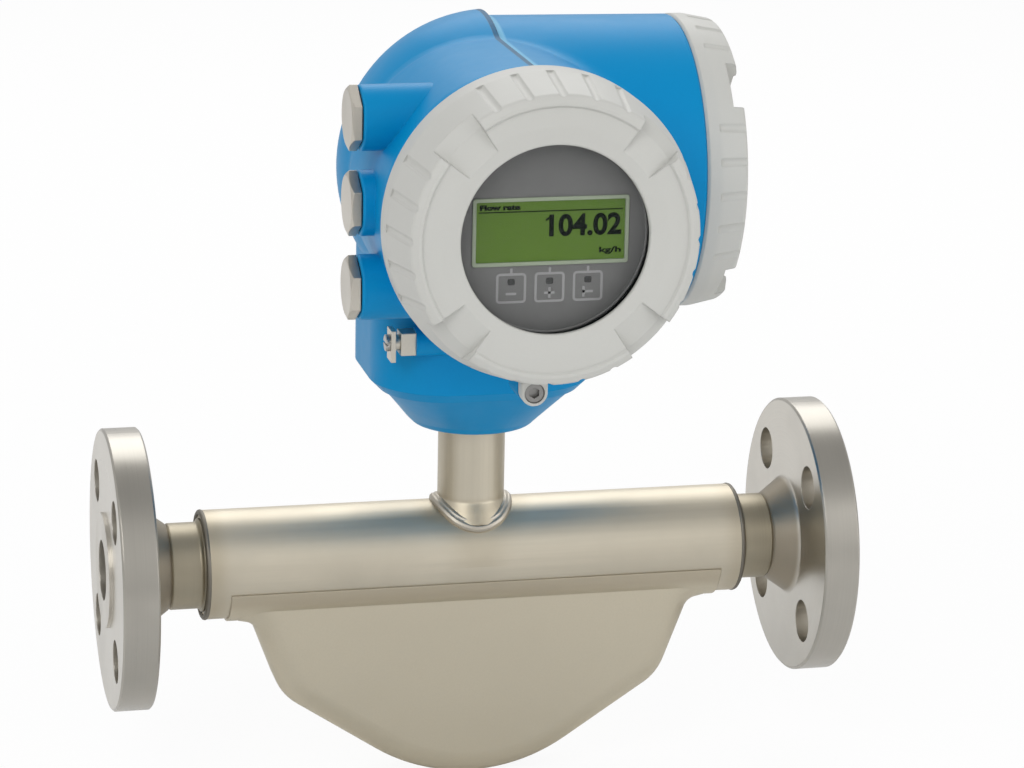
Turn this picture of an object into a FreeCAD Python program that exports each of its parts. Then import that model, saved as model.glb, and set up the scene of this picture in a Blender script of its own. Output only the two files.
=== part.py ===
import FreeCAD, Part
import math
import os

from FreeCAD import Vector

# Coriolis flow meter with 1 inch class 300 flanges and a two-compartment transmitter.
# Millimetres, +Z up. Each piece is modelled about the middle of the pipe, with +X along
# the flow and the display facing -Y, and moved to the inlet face when it is saved.

ALONG_X = Vector(1, 0, 0)
ALONG_Y = Vector(0, 1, 0)
ALONG_Z = Vector(0, 0, 1)

# ---- driving dimensions ---------------------------------------------------------------

FACE_TO_FACE = 329.0
HALF_LENGTH = FACE_TO_FACE / 2

FLANGE_RADIUS = 62.0
FLANGE_THICKNESS = 17.5
RAISED_FACE_RADIUS = 25.4
RAISED_FACE_HEIGHT = 1.6
BOLT_CIRCLE_RADIUS = 44.45
BOLT_HOLE_RADIUS = 9.55
BOLT_COUNT = 4
BORE_RADIUS = 13.35
HUB_ROOT_RADIUS = 26.5
HUB_TIP_RADIUS = 19.4
HUB_LENGTH = 10.7
WELD_PREP = 0.8

CARRIER_HALF_LENGTH = 120.8
CARRIER_RADIUS = 24.15
CARRIER_WALL = 2.6
MANIFOLD_REACH = 24.0

TUBE_RADIUS = 5.4
TUBE_WALL = 0.9
TUBE_SPACING = 9.4
TUBE_SHOULDER_X = 85.0
TUBE_KNEE_X = 72.0
TUBE_KNEE_DROP = 50.0
TUBE_DEPTH = 90.0

SHELL_HALF_WIDTH = 18.3
SHELL_WALL = 2.0
SHELL_EDGE_ROUND = 12.0
SHELL_DEPTH = 101.8
SHELL_KEEL_RADIUS = 79.0
SADDLE_HALF_LENGTH = 110.9
SADDLE_THICKNESS = 0.1
SADDLE_SINK = 1.2
SADDLE_TOP = -7.5

NECK_RADIUS = 14.85
NECK_WALL = 2.6
NECK_FLARE = 2.4

HOUSING_BASE_Z = 61.5
SOCKET_RADIUS = 20.3
SOCKET_DEPTH = 21.5
BASE_RADIUS = 26.5
SHOULDER_Z = 89.5
COLUMN_TOP_Z = 172.0
COLUMN_HALF_WIDTH = 48.1
COLUMN_CENTRE_X = -3.5
COLUMN_CENTRE_Y = -12.0
COLUMN_CORNER = 33.0

AXIS_Z = 176.8
REAR_AXIS_Y = -4.0
REAR_DRUM_RADIUS = 64.9
REAR_DRUM_END = 85.2
REAR_DRUM_DRAFT = 1.0
PARTING_STEP = 1.3
PARTING_X = 1.8
DOME_RADIUS = 68.3
DOME_CENTRE_X = 6.9
DOME_CENTRE_DROP = 0.6
DRUM_BLEND = 14.0

FRONT_DRUM_RADIUS = 59.7
FRONT_DRUM_END = -110.5
CHAMBER_RADIUS = 52.5
REAR_CHAMBER_RADIUS = 46.0
PARTITION_Y = -56.0

COVER_RADIUS = 64.1
COVER_CROWN_SHARE = 0.32
COVER_CROWN_SLOPE = 0.2
COVER_EDGE = 1.4
COVER_BORE_RADIUS = 57.3
COVER_RUNNING_GAP = 0.3
COVER_THREAD_LENGTH = 11.0
COVER_RIM_STEP = 1.0
COVER_RIM_RADIUS = 54.8
COVER_LOBES = 4
COVER_NOTCH_ANGLE = 20.0
COVER_NOTCH_DEPTH = 4.6
COVER_NOTCH_RADIUS = 55.5
COVER_GROOVES_PER_LOBE = 5
COVER_GROOVE_ANGLE = 13.2
COVER_GROOVE_RADIUS = 2.4
COVER_GROOVE_DEPTH = 0.8
SEAL_RECESS_DEPTH = 2.4
SEAL_RECESS_RADIUS = 60.8

DISPLAY_COVER_DEPTH = 38.2
DISPLAY_COVER_TURN = -1.5
ELECTRONICS_COVER_DEPTH = 19.6
ELECTRONICS_COVER_TURN = 2.5
APERTURE_RADIUS = 38.6
WINDOW_RADIUS = 46.0
WINDOW_THICKNESS = 4.4
WINDOW_RING_THICKNESS = 1.6
WINDOW_LIP = 4.2
GASKET_THICKNESS = 0.8

BEZEL_RADIUS = 41.0
BEZEL_FRONT_Y = -137.0
BEZEL_DEPTH = 12.0
PANEL_FRAME_WIDTH = 64.2
PANEL_FRAME_HEIGHT = 27.8
PANEL_BORDER = 1.5
PANEL_RISE = 1.9

ENTRY_Y = -71.0
ENTRY_MIDDLE_Z = 177.3
ENTRY_PITCH = 35.75
ENTRY_BOSS_RADIUS = 13.7
ENTRY_FACE_X = -65.8
ENTRY_BORE_RADIUS = 9.4
PLUG_ACROSS_FLATS = 24.0
PLUG_HEAD_HEIGHT = 4.2
PLUG_SEAL_HEIGHT = 0.6

CLAMP_RADIUS = 5.6
CLAMP_THICKNESS = 5.8
CLAMP_DISTANCE = 71.4
CLAMP_NOSE_REACH = 6.9

GROUND_FACE_X = -38.6
GROUND_Y = -58.0
GROUND_Z = 113.6

NODES = {}


# ---- shape helpers --------------------------------------------------------------------

def rounded_wire(corners, place):
    """Closed wire through (u, v, radius) corners, each rounded by a tangent arc."""
    count = len(corners)
    spans = []
    for index, (u, v, radius) in enumerate(corners):
        here = Vector(u, v, 0)
        before = Vector(corners[index - 1][0], corners[index - 1][1], 0)
        after = Vector(corners[(index + 1) % count][0], corners[(index + 1) % count][1], 0)
        if radius == 0:
            spans.append((here, None, here))
            continue
        back = (before - here).normalize()
        ahead = (after - here).normalize()
        half_angle = back.getAngle(ahead) / 2
        reach = radius / math.tan(half_angle)
        inward = (back + ahead).normalize()
        middle = here + inward * (radius / math.sin(half_angle) - radius)
        spans.append((here + back * reach, middle, here + ahead * reach))
    edges = []
    for index, (start, middle, end) in enumerate(spans):
        if middle is not None:
            edges.append(Part.Arc(place(start), place(middle), place(end)).toShape())
        following = spans[(index + 1) % count][0]
        if (following - end).Length > 1e-6:
            edges.append(Part.LineSegment(place(end), place(following)).toShape())
    return Part.Wire(edges)


def side_of(direction):
    """A unit vector at right angles to an axis along X, Y or Z."""
    return ALONG_X if abs(direction.z) > 0.5 else ALONG_Z


def turned(corners, centre, direction):
    """Solid of revolution from (station, radius, rounding) corners about an axis."""
    side = side_of(direction)
    wire = rounded_wire(corners, lambda p: centre + direction * p.x + side * p.y)
    return Part.Face(wire).revolve(centre, direction, 360)


def extruded(corners, place, depth):
    """Prism from (u, v, rounding) corners, placed by a function and pushed along depth."""
    return Part.Face(rounded_wire(corners, place)).extrude(depth)


def rod(centre, direction, radius, start, end):
    """Cylinder about an axis, from station start to station end."""
    low, high = min(start, end), max(start, end)
    return Part.makeCylinder(radius, high - low, centre + direction * low, direction)


def ring(centre, direction, inner, outer, start, end):
    """Plain ring about an axis."""
    return rod(centre, direction, outer, start, end).cut(
        rod(centre, direction, inner, start - 1, end + 1))


def block(low, high):
    """Box between two opposite corners."""
    size = Vector(*high) - Vector(*low)
    return Part.makeBox(size.x, size.y, size.z, Vector(*low))


def turned_copy(shape, centre, direction, angle):
    """Copy of a shape turned about an axis, in degrees."""
    copy = shape.copy()
    copy.rotate(centre, direction, angle)
    return copy


def hexagon_head(centre, direction, across_flats, height, start_angle):
    """Hexagonal head with its corners turned off at 30 degrees."""
    corner = across_flats / math.sqrt(3)
    side = side_of(direction)
    points = []
    for index in range(6):
        spin = FreeCAD.Rotation(direction, start_angle + 60 * index)
        points.append(centre + spin.multVec(side) * corner)
    prism = Part.Face(Part.makePolygon(points + points[:1])).extrude(direction * height)
    chamfer = (corner - across_flats / 2) * math.tan(math.radians(30))
    cone = turned([(0, 0, 0), (0, corner + 1, 0), (height - chamfer, corner, 0),
                   (height, across_flats / 2 - 0.3, 0), (height, 0, 0)], centre, direction)
    return prism.common(cone)


def single(shape):
    """The one solid of a boolean result, with its leftover seams merged."""
    clean = shape.removeSplitter()
    solids = clean.Solids
    if len(solids) != 1:
        raise ValueError("expected one solid, got %d" % len(solids))
    return solids[0]


def keep(name, shape):
    """Files a finished piece under its node's name."""
    if not shape.isValid():
        raise ValueError("invalid shape: " + name)
    NODES[name] = shape


# ---- flow path ------------------------------------------------------------------------

def weld_neck_flange(end):
    """Flange with raised face, four bolt holes and a short hub; end is -1 inlet, +1 outlet."""
    centre = Vector(end * HALF_LENGTH, 0, 0)
    inward = ALONG_X * -end
    hub_end = FLANGE_THICKNESS + HUB_LENGTH
    body = turned([
        (0, BORE_RADIUS, 0),
        (0, RAISED_FACE_RADIUS, 0),
        (RAISED_FACE_HEIGHT, RAISED_FACE_RADIUS, 0),
        (RAISED_FACE_HEIGHT, FLANGE_RADIUS - 0.8, 0),
        (RAISED_FACE_HEIGHT + 0.8, FLANGE_RADIUS, 0),
        (FLANGE_THICKNESS - 0.8, FLANGE_RADIUS, 0),
        (FLANGE_THICKNESS, FLANGE_RADIUS - 0.8, 0),
        (FLANGE_THICKNESS, HUB_ROOT_RADIUS, 1.5),
        (hub_end - WELD_PREP, HUB_TIP_RADIUS, 0),
        (hub_end, HUB_TIP_RADIUS - WELD_PREP, 0),
        (hub_end, BORE_RADIUS, 0)], centre, inward)
    for index in range(BOLT_COUNT):
        angle = math.radians(45 + 360 / BOLT_COUNT * index)
        hole_centre = centre + Vector(0, math.cos(angle), math.sin(angle)) * BOLT_CIRCLE_RADIUS
        body = body.cut(rod(hole_centre, inward, BOLT_HOLE_RADIUS, -1, FLANGE_THICKNESS + 1))
    return body


def manifold(end):
    """Casting that carries the flow from the hub and divides it between the two tubes."""
    start = HALF_LENGTH - FLANGE_THICKNESS - HUB_LENGTH
    inner_end = CARRIER_HALF_LENGTH - MANIFOLD_REACH
    split = CARRIER_HALF_LENGTH - 6
    socket = inner_end + 6
    out = ALONG_X * end
    middle = Vector(0, 0, 0)
    body = turned([
        (start, BORE_RADIUS, 0),
        (start, HUB_TIP_RADIUS - WELD_PREP, 0),
        (start - WELD_PREP, HUB_TIP_RADIUS - 0.3, 0),
        (CARRIER_HALF_LENGTH + 2.4, HUB_TIP_RADIUS - 0.3, 1.2),
        (CARRIER_HALF_LENGTH + 1.2, HUB_TIP_RADIUS + 1.2, 0),
        (CARRIER_HALF_LENGTH, HUB_TIP_RADIUS + 1.2, 0),
        (CARRIER_HALF_LENGTH, CARRIER_RADIUS - CARRIER_WALL, 0),
        (inner_end, CARRIER_RADIUS - CARRIER_WALL, 0),
        (inner_end, 0, 0),
        (split, 0, 0),
        (split, BORE_RADIUS, 0)], middle, out)
    mouth_radius = BORE_RADIUS * 0.6
    for side in (-1, 1):
        mouth_centre = out * (split + 1) + ALONG_Y * (side * (BORE_RADIUS - mouth_radius - 0.1))
        inlet_circle = Part.Wire(Part.makeCircle(mouth_radius, mouth_centre, ALONG_X))
        branch_centre = out * socket + ALONG_Y * (side * TUBE_SPACING)
        branch_circle = Part.Wire(Part.makeCircle(TUBE_RADIUS - TUBE_WALL, branch_centre, ALONG_X))
        body = body.cut(Part.makeLoft([inlet_circle, branch_circle], True))
        axis = ALONG_Y * (side * TUBE_SPACING)
        body = body.cut(rod(axis, out, TUBE_RADIUS, inner_end - 1, socket))
    return single(body)


def carrier_tube():
    """Round tube between the manifolds, cut open below for the measuring tubes."""
    inner = CARRIER_RADIUS - CARRIER_WALL
    body = turned([
        (-CARRIER_HALF_LENGTH, inner, 0),
        (-CARRIER_HALF_LENGTH, CARRIER_RADIUS, 1.2),
        (CARRIER_HALF_LENGTH, CARRIER_RADIUS, 1.2),
        (CARRIER_HALF_LENGTH, inner, 0)], Vector(0, 0, 0), ALONG_X)
    slot_end = CARRIER_HALF_LENGTH - MANIFOLD_REACH - 2
    slot_half = TUBE_SPACING + TUBE_RADIUS + 0.4
    body = body.cut(block((-slot_end, -slot_half, -CARRIER_RADIUS - 1), (slot_end, slot_half, 0)))
    return single(body.cut(rod(Vector(0, 0, 0), ALONG_Z, NECK_RADIUS - NECK_WALL, 0, 40)))


def belly_solid(offset):
    """Filled form of the belly with its long edges rounded, drawn in by an offset."""
    half = SHELL_HALF_WIDTH - offset
    top = CARRIER_RADIUS
    slope = math.radians(33.4)
    keel = SHELL_KEEL_RADIUS - offset
    apex = -SHELL_DEPTH + offset - keel * (1 / math.cos(slope) - 1)
    corners = [
        (-106 + offset, -top + offset, 0),
        (-99.4 + offset, -top - 1.4 + offset, 6),
        (-86.4 + offset * 0.9, -60.3 + offset * 0.65, 24),
        (0, apex, keel),
        (86.4 - offset * 0.9, -60.3 + offset * 0.65, 24),
        (99.4 - offset, -top - 1.4 + offset, 6),
        (106 - offset, -top + offset, 0),
        (106 - offset, -6, 0),
        (-106 + offset, -6, 0)]
    prism = extruded(corners, lambda p: Vector(p.x, -half, p.y), ALONG_Y * (2 * half))
    rim = []
    for edge in prism.Edges:
        box = edge.BoundBox
        if box.YLength < 1e-6 and box.ZMax < -top + 4 and box.ZMin < -top:
            rim.append(edge)
    return prism.makeFillet(SHELL_EDGE_ROUND - offset, rim)


def belly_shell():
    """Pressed shell under the carrier tube; its saddle thins out towards the top."""
    tube_room = rod(Vector(0, 0, 0), ALONG_X, CARRIER_RADIUS + 0.05, -130, 130)
    saddle = rod(ALONG_Z * -SADDLE_SINK, ALONG_X, CARRIER_RADIUS + SADDLE_THICKNESS,
                 -SADDLE_HALF_LENGTH, SADDLE_HALF_LENGTH)
    saddle = saddle.cut(block((-130, -40, SADDLE_TOP), (130, 40, 40)))
    outer = belly_solid(0).fuse(saddle)
    shell = outer.cut(tube_room).cut(belly_solid(SHELL_WALL))
    return single(shell)


def tube_path(side):
    """Centre line of a measuring tube: straight ends, steep legs and a round bottom."""
    y = side * TUBE_SPACING
    start = CARRIER_HALF_LENGTH - MANIFOLD_REACH + 6
    right = [(24, -TUBE_DEPTH, 34), (TUBE_KNEE_X, -TUBE_KNEE_DROP, 16),
             (TUBE_SHOULDER_X, 0, 14), (start, 0, 0)]
    corners = [(-x, z, rounding) for x, z, rounding in reversed(right)] + right
    closed = rounded_wire(corners, lambda p: Vector(p.x, y, p.y))
    edges = [edge for edge in closed.Edges if edge.Length < 2 * start - 1]
    return Part.Wire(edges)


def measuring_tube(side):
    """Bent tube that the fluid runs through."""
    path = tube_path(side)
    start = path.Vertexes[0].Point
    skins = []
    for radius in (TUBE_RADIUS, TUBE_RADIUS - TUBE_WALL):
        circle = Part.Wire(Part.makeCircle(radius, start, ALONG_X))
        skins.append(path.makePipeShell([circle], True, True))
    return single(skins[0].cut(skins[1]))


def brace_plate(end, drop):
    """Plate square across the two measuring tubes' legs, which it ties together."""
    run = TUBE_SHOULDER_X - TUBE_KNEE_X
    lean = math.degrees(math.atan2(run, TUBE_KNEE_DROP))
    half_x = TUBE_RADIUS + 2.6
    half_y = TUBE_SPACING + TUBE_RADIUS + 1.2
    plate = extruded([(-half_x, -half_y, 5), (half_x, -half_y, 5), (half_x, half_y, 5),
                      (-half_x, half_y, 5)], lambda p: Vector(p.x, p.y, -1), ALONG_Z * 2)
    for side in (-1, 1):
        axis = Vector(0, side * TUBE_SPACING, 0)
        plate = plate.cut(rod(axis, ALONG_Z, TUBE_RADIUS + 0.02, -2, 2))
    plate.rotate(Vector(0, 0, 0), ALONG_Y, end * lean)
    plate.translate(Vector(end * (TUBE_SHOULDER_X - run * drop / TUBE_KNEE_DROP), 0, -drop))
    return single(plate)


def leg_sensor(x, z):
    """Coil on the front tube and magnet on the rear tube, facing across the gap."""
    grip = TUBE_SPACING - TUBE_RADIUS
    centre = Vector(x, 0, z)
    coil = rod(centre, ALONG_Y, 6.5, -grip + 0.2, -0.4).cut(rod(centre, ALONG_Y, 3.4, -3.2, 0))
    magnet = rod(centre, ALONG_Y, 6.5, 2.2, grip - 0.2)
    magnet = magnet.fuse(rod(centre, ALONG_Y, 2.6, -2.6, 3))
    return single(coil), single(magnet)


def temperature_sensor():
    """Small resistance sensor bonded on top of the front tube's lowest stretch."""
    top = TUBE_RADIUS - TUBE_DEPTH
    return block((-3, -TUBE_SPACING - 1.2, top + 0.02), (3, -TUBE_SPACING + 1.2, top + 1.8))


def neck_tube():
    """Tube that carries the transmitter, with a flared weld at its foot."""
    body = turned([
        (18, 0, 0),
        (18, NECK_RADIUS + NECK_FLARE + 2.5, 0),
        (CARRIER_RADIUS - 1.5, NECK_RADIUS + NECK_FLARE, 0),
        (CARRIER_RADIUS + 2.6, NECK_RADIUS, 2.5),
        (HOUSING_BASE_Z + 1, NECK_RADIUS, 0),
        (HOUSING_BASE_Z + 1, 0, 0)], Vector(0, 0, 0), ALONG_Z)
    body = body.cut(rod(Vector(0, 0, 0), ALONG_X, CARRIER_RADIUS + 0.03, -40, 40))
    body = body.cut(rod(Vector(0, 0, 0), ALONG_Z, NECK_RADIUS - NECK_WALL, 0, 90))
    return single(body)


def neck_feedthrough():
    """Sealed disc in the neck with the signal pins through it."""
    centre = Vector(0, 0, 0)
    disc = rod(centre, ALONG_Z, NECK_RADIUS - NECK_WALL - 0.02, 50, 54)
    for index in range(8):
        angle = math.radians(45 * index)
        pin = Vector(math.cos(angle), math.sin(angle), 0) * 7.5
        disc = disc.fuse(rod(pin, ALONG_Z, 0.6, 46, 58))
    return single(disc)


def neck_adapter():
    """Turned ring on top of the neck that the transmitter turns on."""
    outer = SOCKET_RADIUS - COVER_RUNNING_GAP
    low = HOUSING_BASE_Z + 1.02
    return turned([
        (low, NECK_RADIUS - NECK_WALL, 0),
        (low, outer - 0.6, 0),
        (low + 0.6, outer, 0),
        (low + 3.0, outer, 0),
        (low + 3.0, outer - 1.9, 0),
        (low + 5.2, outer - 1.9, 0),
        (low + 5.2, outer, 0),
        (low + 8.0, outer, 0),
        (low + 8.0, outer - 1.5, 0),
        (low + 13.0, outer - 1.5, 0),
        (low + 13.0, outer, 0),
        (HOUSING_BASE_Z + SOCKET_DEPTH - 0.4, outer, 0),
        (HOUSING_BASE_Z + SOCKET_DEPTH - 0.4, NECK_RADIUS - NECK_WALL, 0)],
        Vector(0, 0, 0), ALONG_Z)


def neck_seal():
    """O-ring in the adapter's groove."""
    radius = SOCKET_RADIUS - COVER_RUNNING_GAP - 1.9 + 1.0
    middle = HOUSING_BASE_Z + 1.02 + 4.1
    return Part.makeTorus(radius, 0.97, Vector(0, 0, middle), ALONG_Z)


# ---- transmitter housing --------------------------------------------------------------

def column_outline(inset, z):
    """Level outline of the column, a square with rounded corners, drawn in by an inset."""
    half = COLUMN_HALF_WIDTH - inset
    corner = COLUMN_CORNER - inset
    corners = [(-half, -half, corner), (half, -half, corner), (half, half, corner),
               (-half, half, corner)]
    return rounded_wire(corners,
                        lambda p: Vector(COLUMN_CENTRE_X + p.x, COLUMN_CENTRE_Y + p.y, z))


def split_circle(radius, z):
    """Circle on the neck's axis, cut into eight arcs that pair up with the column's edges."""
    centre = Vector(0, 0, z)
    half_flat = 45 * 0.35
    edges = []
    for corner in range(4):
        middle = -135 + 90 * corner
        spans = ((middle - 45 + half_flat, middle + 45 - half_flat),
                 (middle + 45 - half_flat, middle + 45 + half_flat))
        for start, end in spans:
            points = [centre + Vector(math.cos(math.radians(a)), math.sin(math.radians(a)), 0)
                      * radius for a in (start, (start + end) / 2, end)]
            edges.append(Part.Arc(*points).toShape())
    return Part.Wire(edges)


def housing_foot():
    """Column with rounded corners that tapers down to the round base at the neck."""
    ledge, step = 4.5, 1.4
    base_top = HOUSING_BASE_Z + 3
    column = Part.Face(column_outline(0, SHOULDER_Z)).extrude(ALONG_Z * (COLUMN_TOP_Z - SHOULDER_Z))
    lip = Part.makeLoft([column_outline(0, SHOULDER_Z),
                         column_outline(ledge, SHOULDER_Z - ledge)], True, True)
    taper = Part.makeLoft([column_outline(ledge + step, SHOULDER_Z - ledge),
                           split_circle(BASE_RADIUS + 3, base_top)], True, True)
    base = turned([(HOUSING_BASE_Z, 0, 0), (HOUSING_BASE_Z, BASE_RADIUS, 2.5),
                   (base_top, BASE_RADIUS + 3, 0), (base_top, 0, 0)],
                  Vector(0, 0, 0), ALONG_Z)
    return column.fuse([lip, taper, base])


def front_drum(radius):
    """Drum along -Y that carries the display cover, drawn in at its rear end."""
    start = -REAR_AXIS_Y
    return turned([
        (start, 0, 0), (start, radius - 10, 0), (start + 18, radius, 28),
        (-FRONT_DRUM_END, radius, 0), (-FRONT_DRUM_END, 0, 0)],
        Vector(0, 0, AXIS_Z), ALONG_Y * -1)


def blended(rear, front, blend):
    """Two rounded bodies joined, with a fillet along the edge where they meet in front."""
    joined = rear.fuse(front).removeSplitter()
    seam = []
    for edge in joined.Edges:
        box = edge.BoundBox
        if box.ZLength > 80 and box.XLength > 5 and box.YMax < REAR_AXIS_Y - 2:
            seam.append(edge)
    return joined.makeFillet(blend, seam)


def right_half():
    """Right of the parting line: slightly tapered drum, open towards the side cover."""
    centre = Vector(0, REAR_AXIS_Y, AXIS_Z)
    taper = REAR_DRUM_DRAFT / REAR_DRUM_END
    drum = turned([
        (-REAR_DRUM_END, 0, 0),
        (-REAR_DRUM_END, REAR_DRUM_RADIUS + REAR_DRUM_END * taper, 0),
        (REAR_DRUM_END - 1, REAR_DRUM_RADIUS - REAR_DRUM_DRAFT, 0),
        (REAR_DRUM_END, REAR_DRUM_RADIUS - REAR_DRUM_DRAFT - 1, 0),
        (REAR_DRUM_END, 0, 0)], centre, ALONG_X)
    body = blended(drum, front_drum(FRONT_DRUM_RADIUS), DRUM_BLEND)
    return body.common(block((PARTING_X - 1, -200, 0), (200, 200, 400)))


def left_half():
    """Left of the parting line: domed lobe that stands proud of the right half."""
    centre = Vector(DOME_CENTRE_X, REAR_AXIS_Y, AXIS_Z - DOME_CENTRE_DROP)
    dome = Part.makeSphere(DOME_RADIUS, centre, ALONG_Y)
    body = blended(dome, front_drum(FRONT_DRUM_RADIUS + PARTING_STEP), DRUM_BLEND)
    return body.common(block((-200, -200, 0), (PARTING_X, 200, 400)))


def entry_bosses():
    """Three round bosses for the cable entries, in a row on the left."""
    bosses = []
    for step in (-1, 0, 1):
        centre = Vector(0, ENTRY_Y, ENTRY_MIDDLE_Z + step * ENTRY_PITCH)
        bosses.append(turned([
            (ENTRY_FACE_X, 0, 0), (ENTRY_FACE_X, ENTRY_BOSS_RADIUS, 1.0),
            (-26, ENTRY_BOSS_RADIUS, 0), (-26, 0, 0)], centre, ALONG_X))
    return bosses


def cover_seat(centre, out, start):
    """Threaded spigot that a cover screws on to."""
    radius = COVER_BORE_RADIUS - COVER_RUNNING_GAP
    return turned([
        (start - 6, 0, 0), (start - 6, radius, 0),
        (start + COVER_THREAD_LENGTH - 1, radius, 0),
        (start + COVER_THREAD_LENGTH, radius - 1, 0),
        (start + COVER_THREAD_LENGTH, 0, 0)], centre, out)


def clamp_place(cover):
    """Centre and direction of a cover clamp's screw."""
    if cover == "display":
        return Vector(0, FRONT_DRUM_END, AXIS_Z - CLAMP_DISTANCE), ALONG_Y * -1
    reach = CLAMP_DISTANCE * math.sqrt(0.5)
    return Vector(REAR_DRUM_END, REAR_AXIS_Y + reach, AXIS_Z - reach), ALONG_X


def clamp_lug(cover):
    """Lug on the casting that the clamp's screw goes into, and the screw's hole."""
    centre, out = clamp_place(cover)
    radius = CLAMP_RADIUS + 0.4
    lug = rod(centre, out, radius, -16, -0.3)
    axis_y = 0 if cover == "display" else REAR_AXIS_Y
    web = block((-radius, centre.y + 0.3, centre.z), (radius, centre.y + 16, AXIS_Z - 50))
    if cover == "electronics":
        axis = Vector(0, axis_y, AXIS_Z)
        web = block((REAR_DRUM_END - 16, axis_y - radius, AXIS_Z - CLAMP_DISTANCE),
                    (REAR_DRUM_END - 0.3, axis_y + radius, AXIS_Z - 50))
        web.rotate(axis, ALONG_X, 45)
    hole = rod(centre, out, 2.6, -12, 1)
    return lug.fuse(web), hole


def housing_hollows():
    """Front and rear chambers, cable space, neck socket and entry bores."""
    front_centre = Vector(0, 0, AXIS_Z)
    rear_centre = Vector(0, REAR_AXIS_Y, AXIS_Z)
    front = rod(front_centre, ALONG_Y, CHAMBER_RADIUS, PARTITION_Y, -140)
    rear = turned([(-46, 0, 0), (-46, 22, 6), (-12, REAR_CHAMBER_RADIUS, 20),
                   (REAR_DRUM_END - 8, REAR_CHAMBER_RADIUS, 0),
                   (REAR_DRUM_END - 8, CHAMBER_RADIUS, 0), (130, CHAMBER_RADIUS, 0),
                   (130, 0, 0)], rear_centre, ALONG_X)
    wiring = turned([(81, 0, 0), (81, 24, 0), (102, 40, 6), (140, 40, 0), (140, 0, 0)],
                    Vector(0, COLUMN_CENTRE_Y, 0), ALONG_Z)
    socket = rod(Vector(0, 0, 0), ALONG_Z, SOCKET_RADIUS, HOUSING_BASE_Z - 1,
                 HOUSING_BASE_Z + SOCKET_DEPTH)
    hollows = [front, rear, wiring, socket]
    for step in (-1, 0, 1):
        centre = Vector(0, ENTRY_Y, ENTRY_MIDDLE_Z + step * ENTRY_PITCH)
        hollows.append(rod(centre, ALONG_X, ENTRY_BORE_RADIUS, ENTRY_FACE_X - 5, -26))
    return hollows


def ground_boss():
    """Flat-faced pad for the ground terminal, beside the lowest entry."""
    centre = Vector(0, GROUND_Y, GROUND_Z)
    return rod(centre, ALONG_X, 6.2, GROUND_FACE_X, -22)


def lock_screw_place():
    """Station and direction of the housing's lock screw, low on the rear."""
    return Vector(0, 0, HOUSING_BASE_Z + 1.02 + 10.5), ALONG_Y


def transmitter_housing():
    """Light-metal casting with two chambers, an angled foot and three entry bosses."""
    front_seat = cover_seat(Vector(0, 0, AXIS_Z), ALONG_Y * -1, -FRONT_DRUM_END)
    rear_seat = cover_seat(Vector(0, REAR_AXIS_Y, AXIS_Z), ALONG_X, REAR_DRUM_END)
    lugs = [clamp_lug(cover) for cover in ("display", "electronics")]
    solids = [left_half(), housing_foot(), front_seat, rear_seat, ground_boss()]
    solids += entry_bosses() + [lug for lug, hole in lugs]
    body = right_half().fuse(solids)
    lock_centre, lock_out = lock_screw_place()
    holes = [hole for lug, hole in lugs]
    holes.append(rod(lock_centre, lock_out, 2.6, 10, 60))
    holes.append(rod(Vector(0, GROUND_Y, GROUND_Z), ALONG_X, 2.1, GROUND_FACE_X - 5,
                     GROUND_FACE_X + 9))
    holes.append(block((GROUND_FACE_X - 18, GROUND_Y - 4.7, GROUND_Z - 8),
                       (GROUND_FACE_X, GROUND_Y + 4.7, GROUND_Z + 8)))
    return single(body.cut(housing_hollows() + holes))


def housing_lock_screw():
    """Set screw that holds the transmitter at its angle on the neck."""
    centre, out = lock_screw_place()
    screw = rod(centre, out, 2.5, SOCKET_RADIUS - 1.4, SOCKET_RADIUS + 12)
    return screw.cut(rod(centre, out, 1.4, SOCKET_RADIUS + 9.5, SOCKET_RADIUS + 13))


# ---- covers ---------------------------------------------------------------------------

def crown_line(depth):
    """Where a cover's side starts to draw in, and the station and radius of its front edge."""
    start = depth * COVER_CROWN_SHARE
    front = depth - COVER_EDGE
    return start, front, COVER_RADIUS - COVER_CROWN_SLOPE * (front - start)


def cover_outside(depth):
    """Outer half of a cover's section: rim, side, crown and the proud front edge."""
    start, front, edge_radius = crown_line(depth)
    return [
        (0, COVER_RADIUS - 1.0, 0),
        (1.0, COVER_RADIUS, 0),
        (start, COVER_RADIUS, 12),
        (front, edge_radius, 2.2),
        (depth, COVER_RIM_RADIUS + 1.4, 0.8),
        (depth, COVER_RIM_RADIUS, 0.3),
        (depth - COVER_RIM_STEP, COVER_RIM_RADIUS - 0.7, 0)]


def cover_inside():
    """Rear part of a cover's bore: seal recess and thread."""
    return [
        (COVER_THREAD_LENGTH + 2.5, COVER_BORE_RADIUS, 0),
        (SEAL_RECESS_DEPTH, COVER_BORE_RADIUS, 0),
        (SEAL_RECESS_DEPTH, SEAL_RECESS_RADIUS, 0),
        (0, SEAL_RECESS_RADIUS, 0)]


def cover_notch(centre, out, depth):
    """Cutter for one finger notch: a floor that falls outwards and a facet beyond it."""
    start, front = crown_line(depth)[:2]
    face = depth - COVER_RIM_STEP
    floor = depth - COVER_NOTCH_DEPTH
    side = side_of(out)
    corners = [(face + 0.1, COVER_NOTCH_RADIUS - 13, 0), (floor, COVER_NOTCH_RADIUS, 0),
               (start + 0.55 * (front - start), COVER_RADIUS + 0.5, 0),
               (start, COVER_RADIUS + 6, 0), (depth + 2, COVER_RADIUS + 6, 0),
               (depth + 2, COVER_NOTCH_RADIUS - 13, 0)]
    section = Part.Face(rounded_wire(corners, lambda p: centre + out * p.x + side * p.y))
    section.rotate(centre, out, -COVER_NOTCH_ANGLE / 2)
    return section.revolve(centre, out, COVER_NOTCH_ANGLE)


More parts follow.
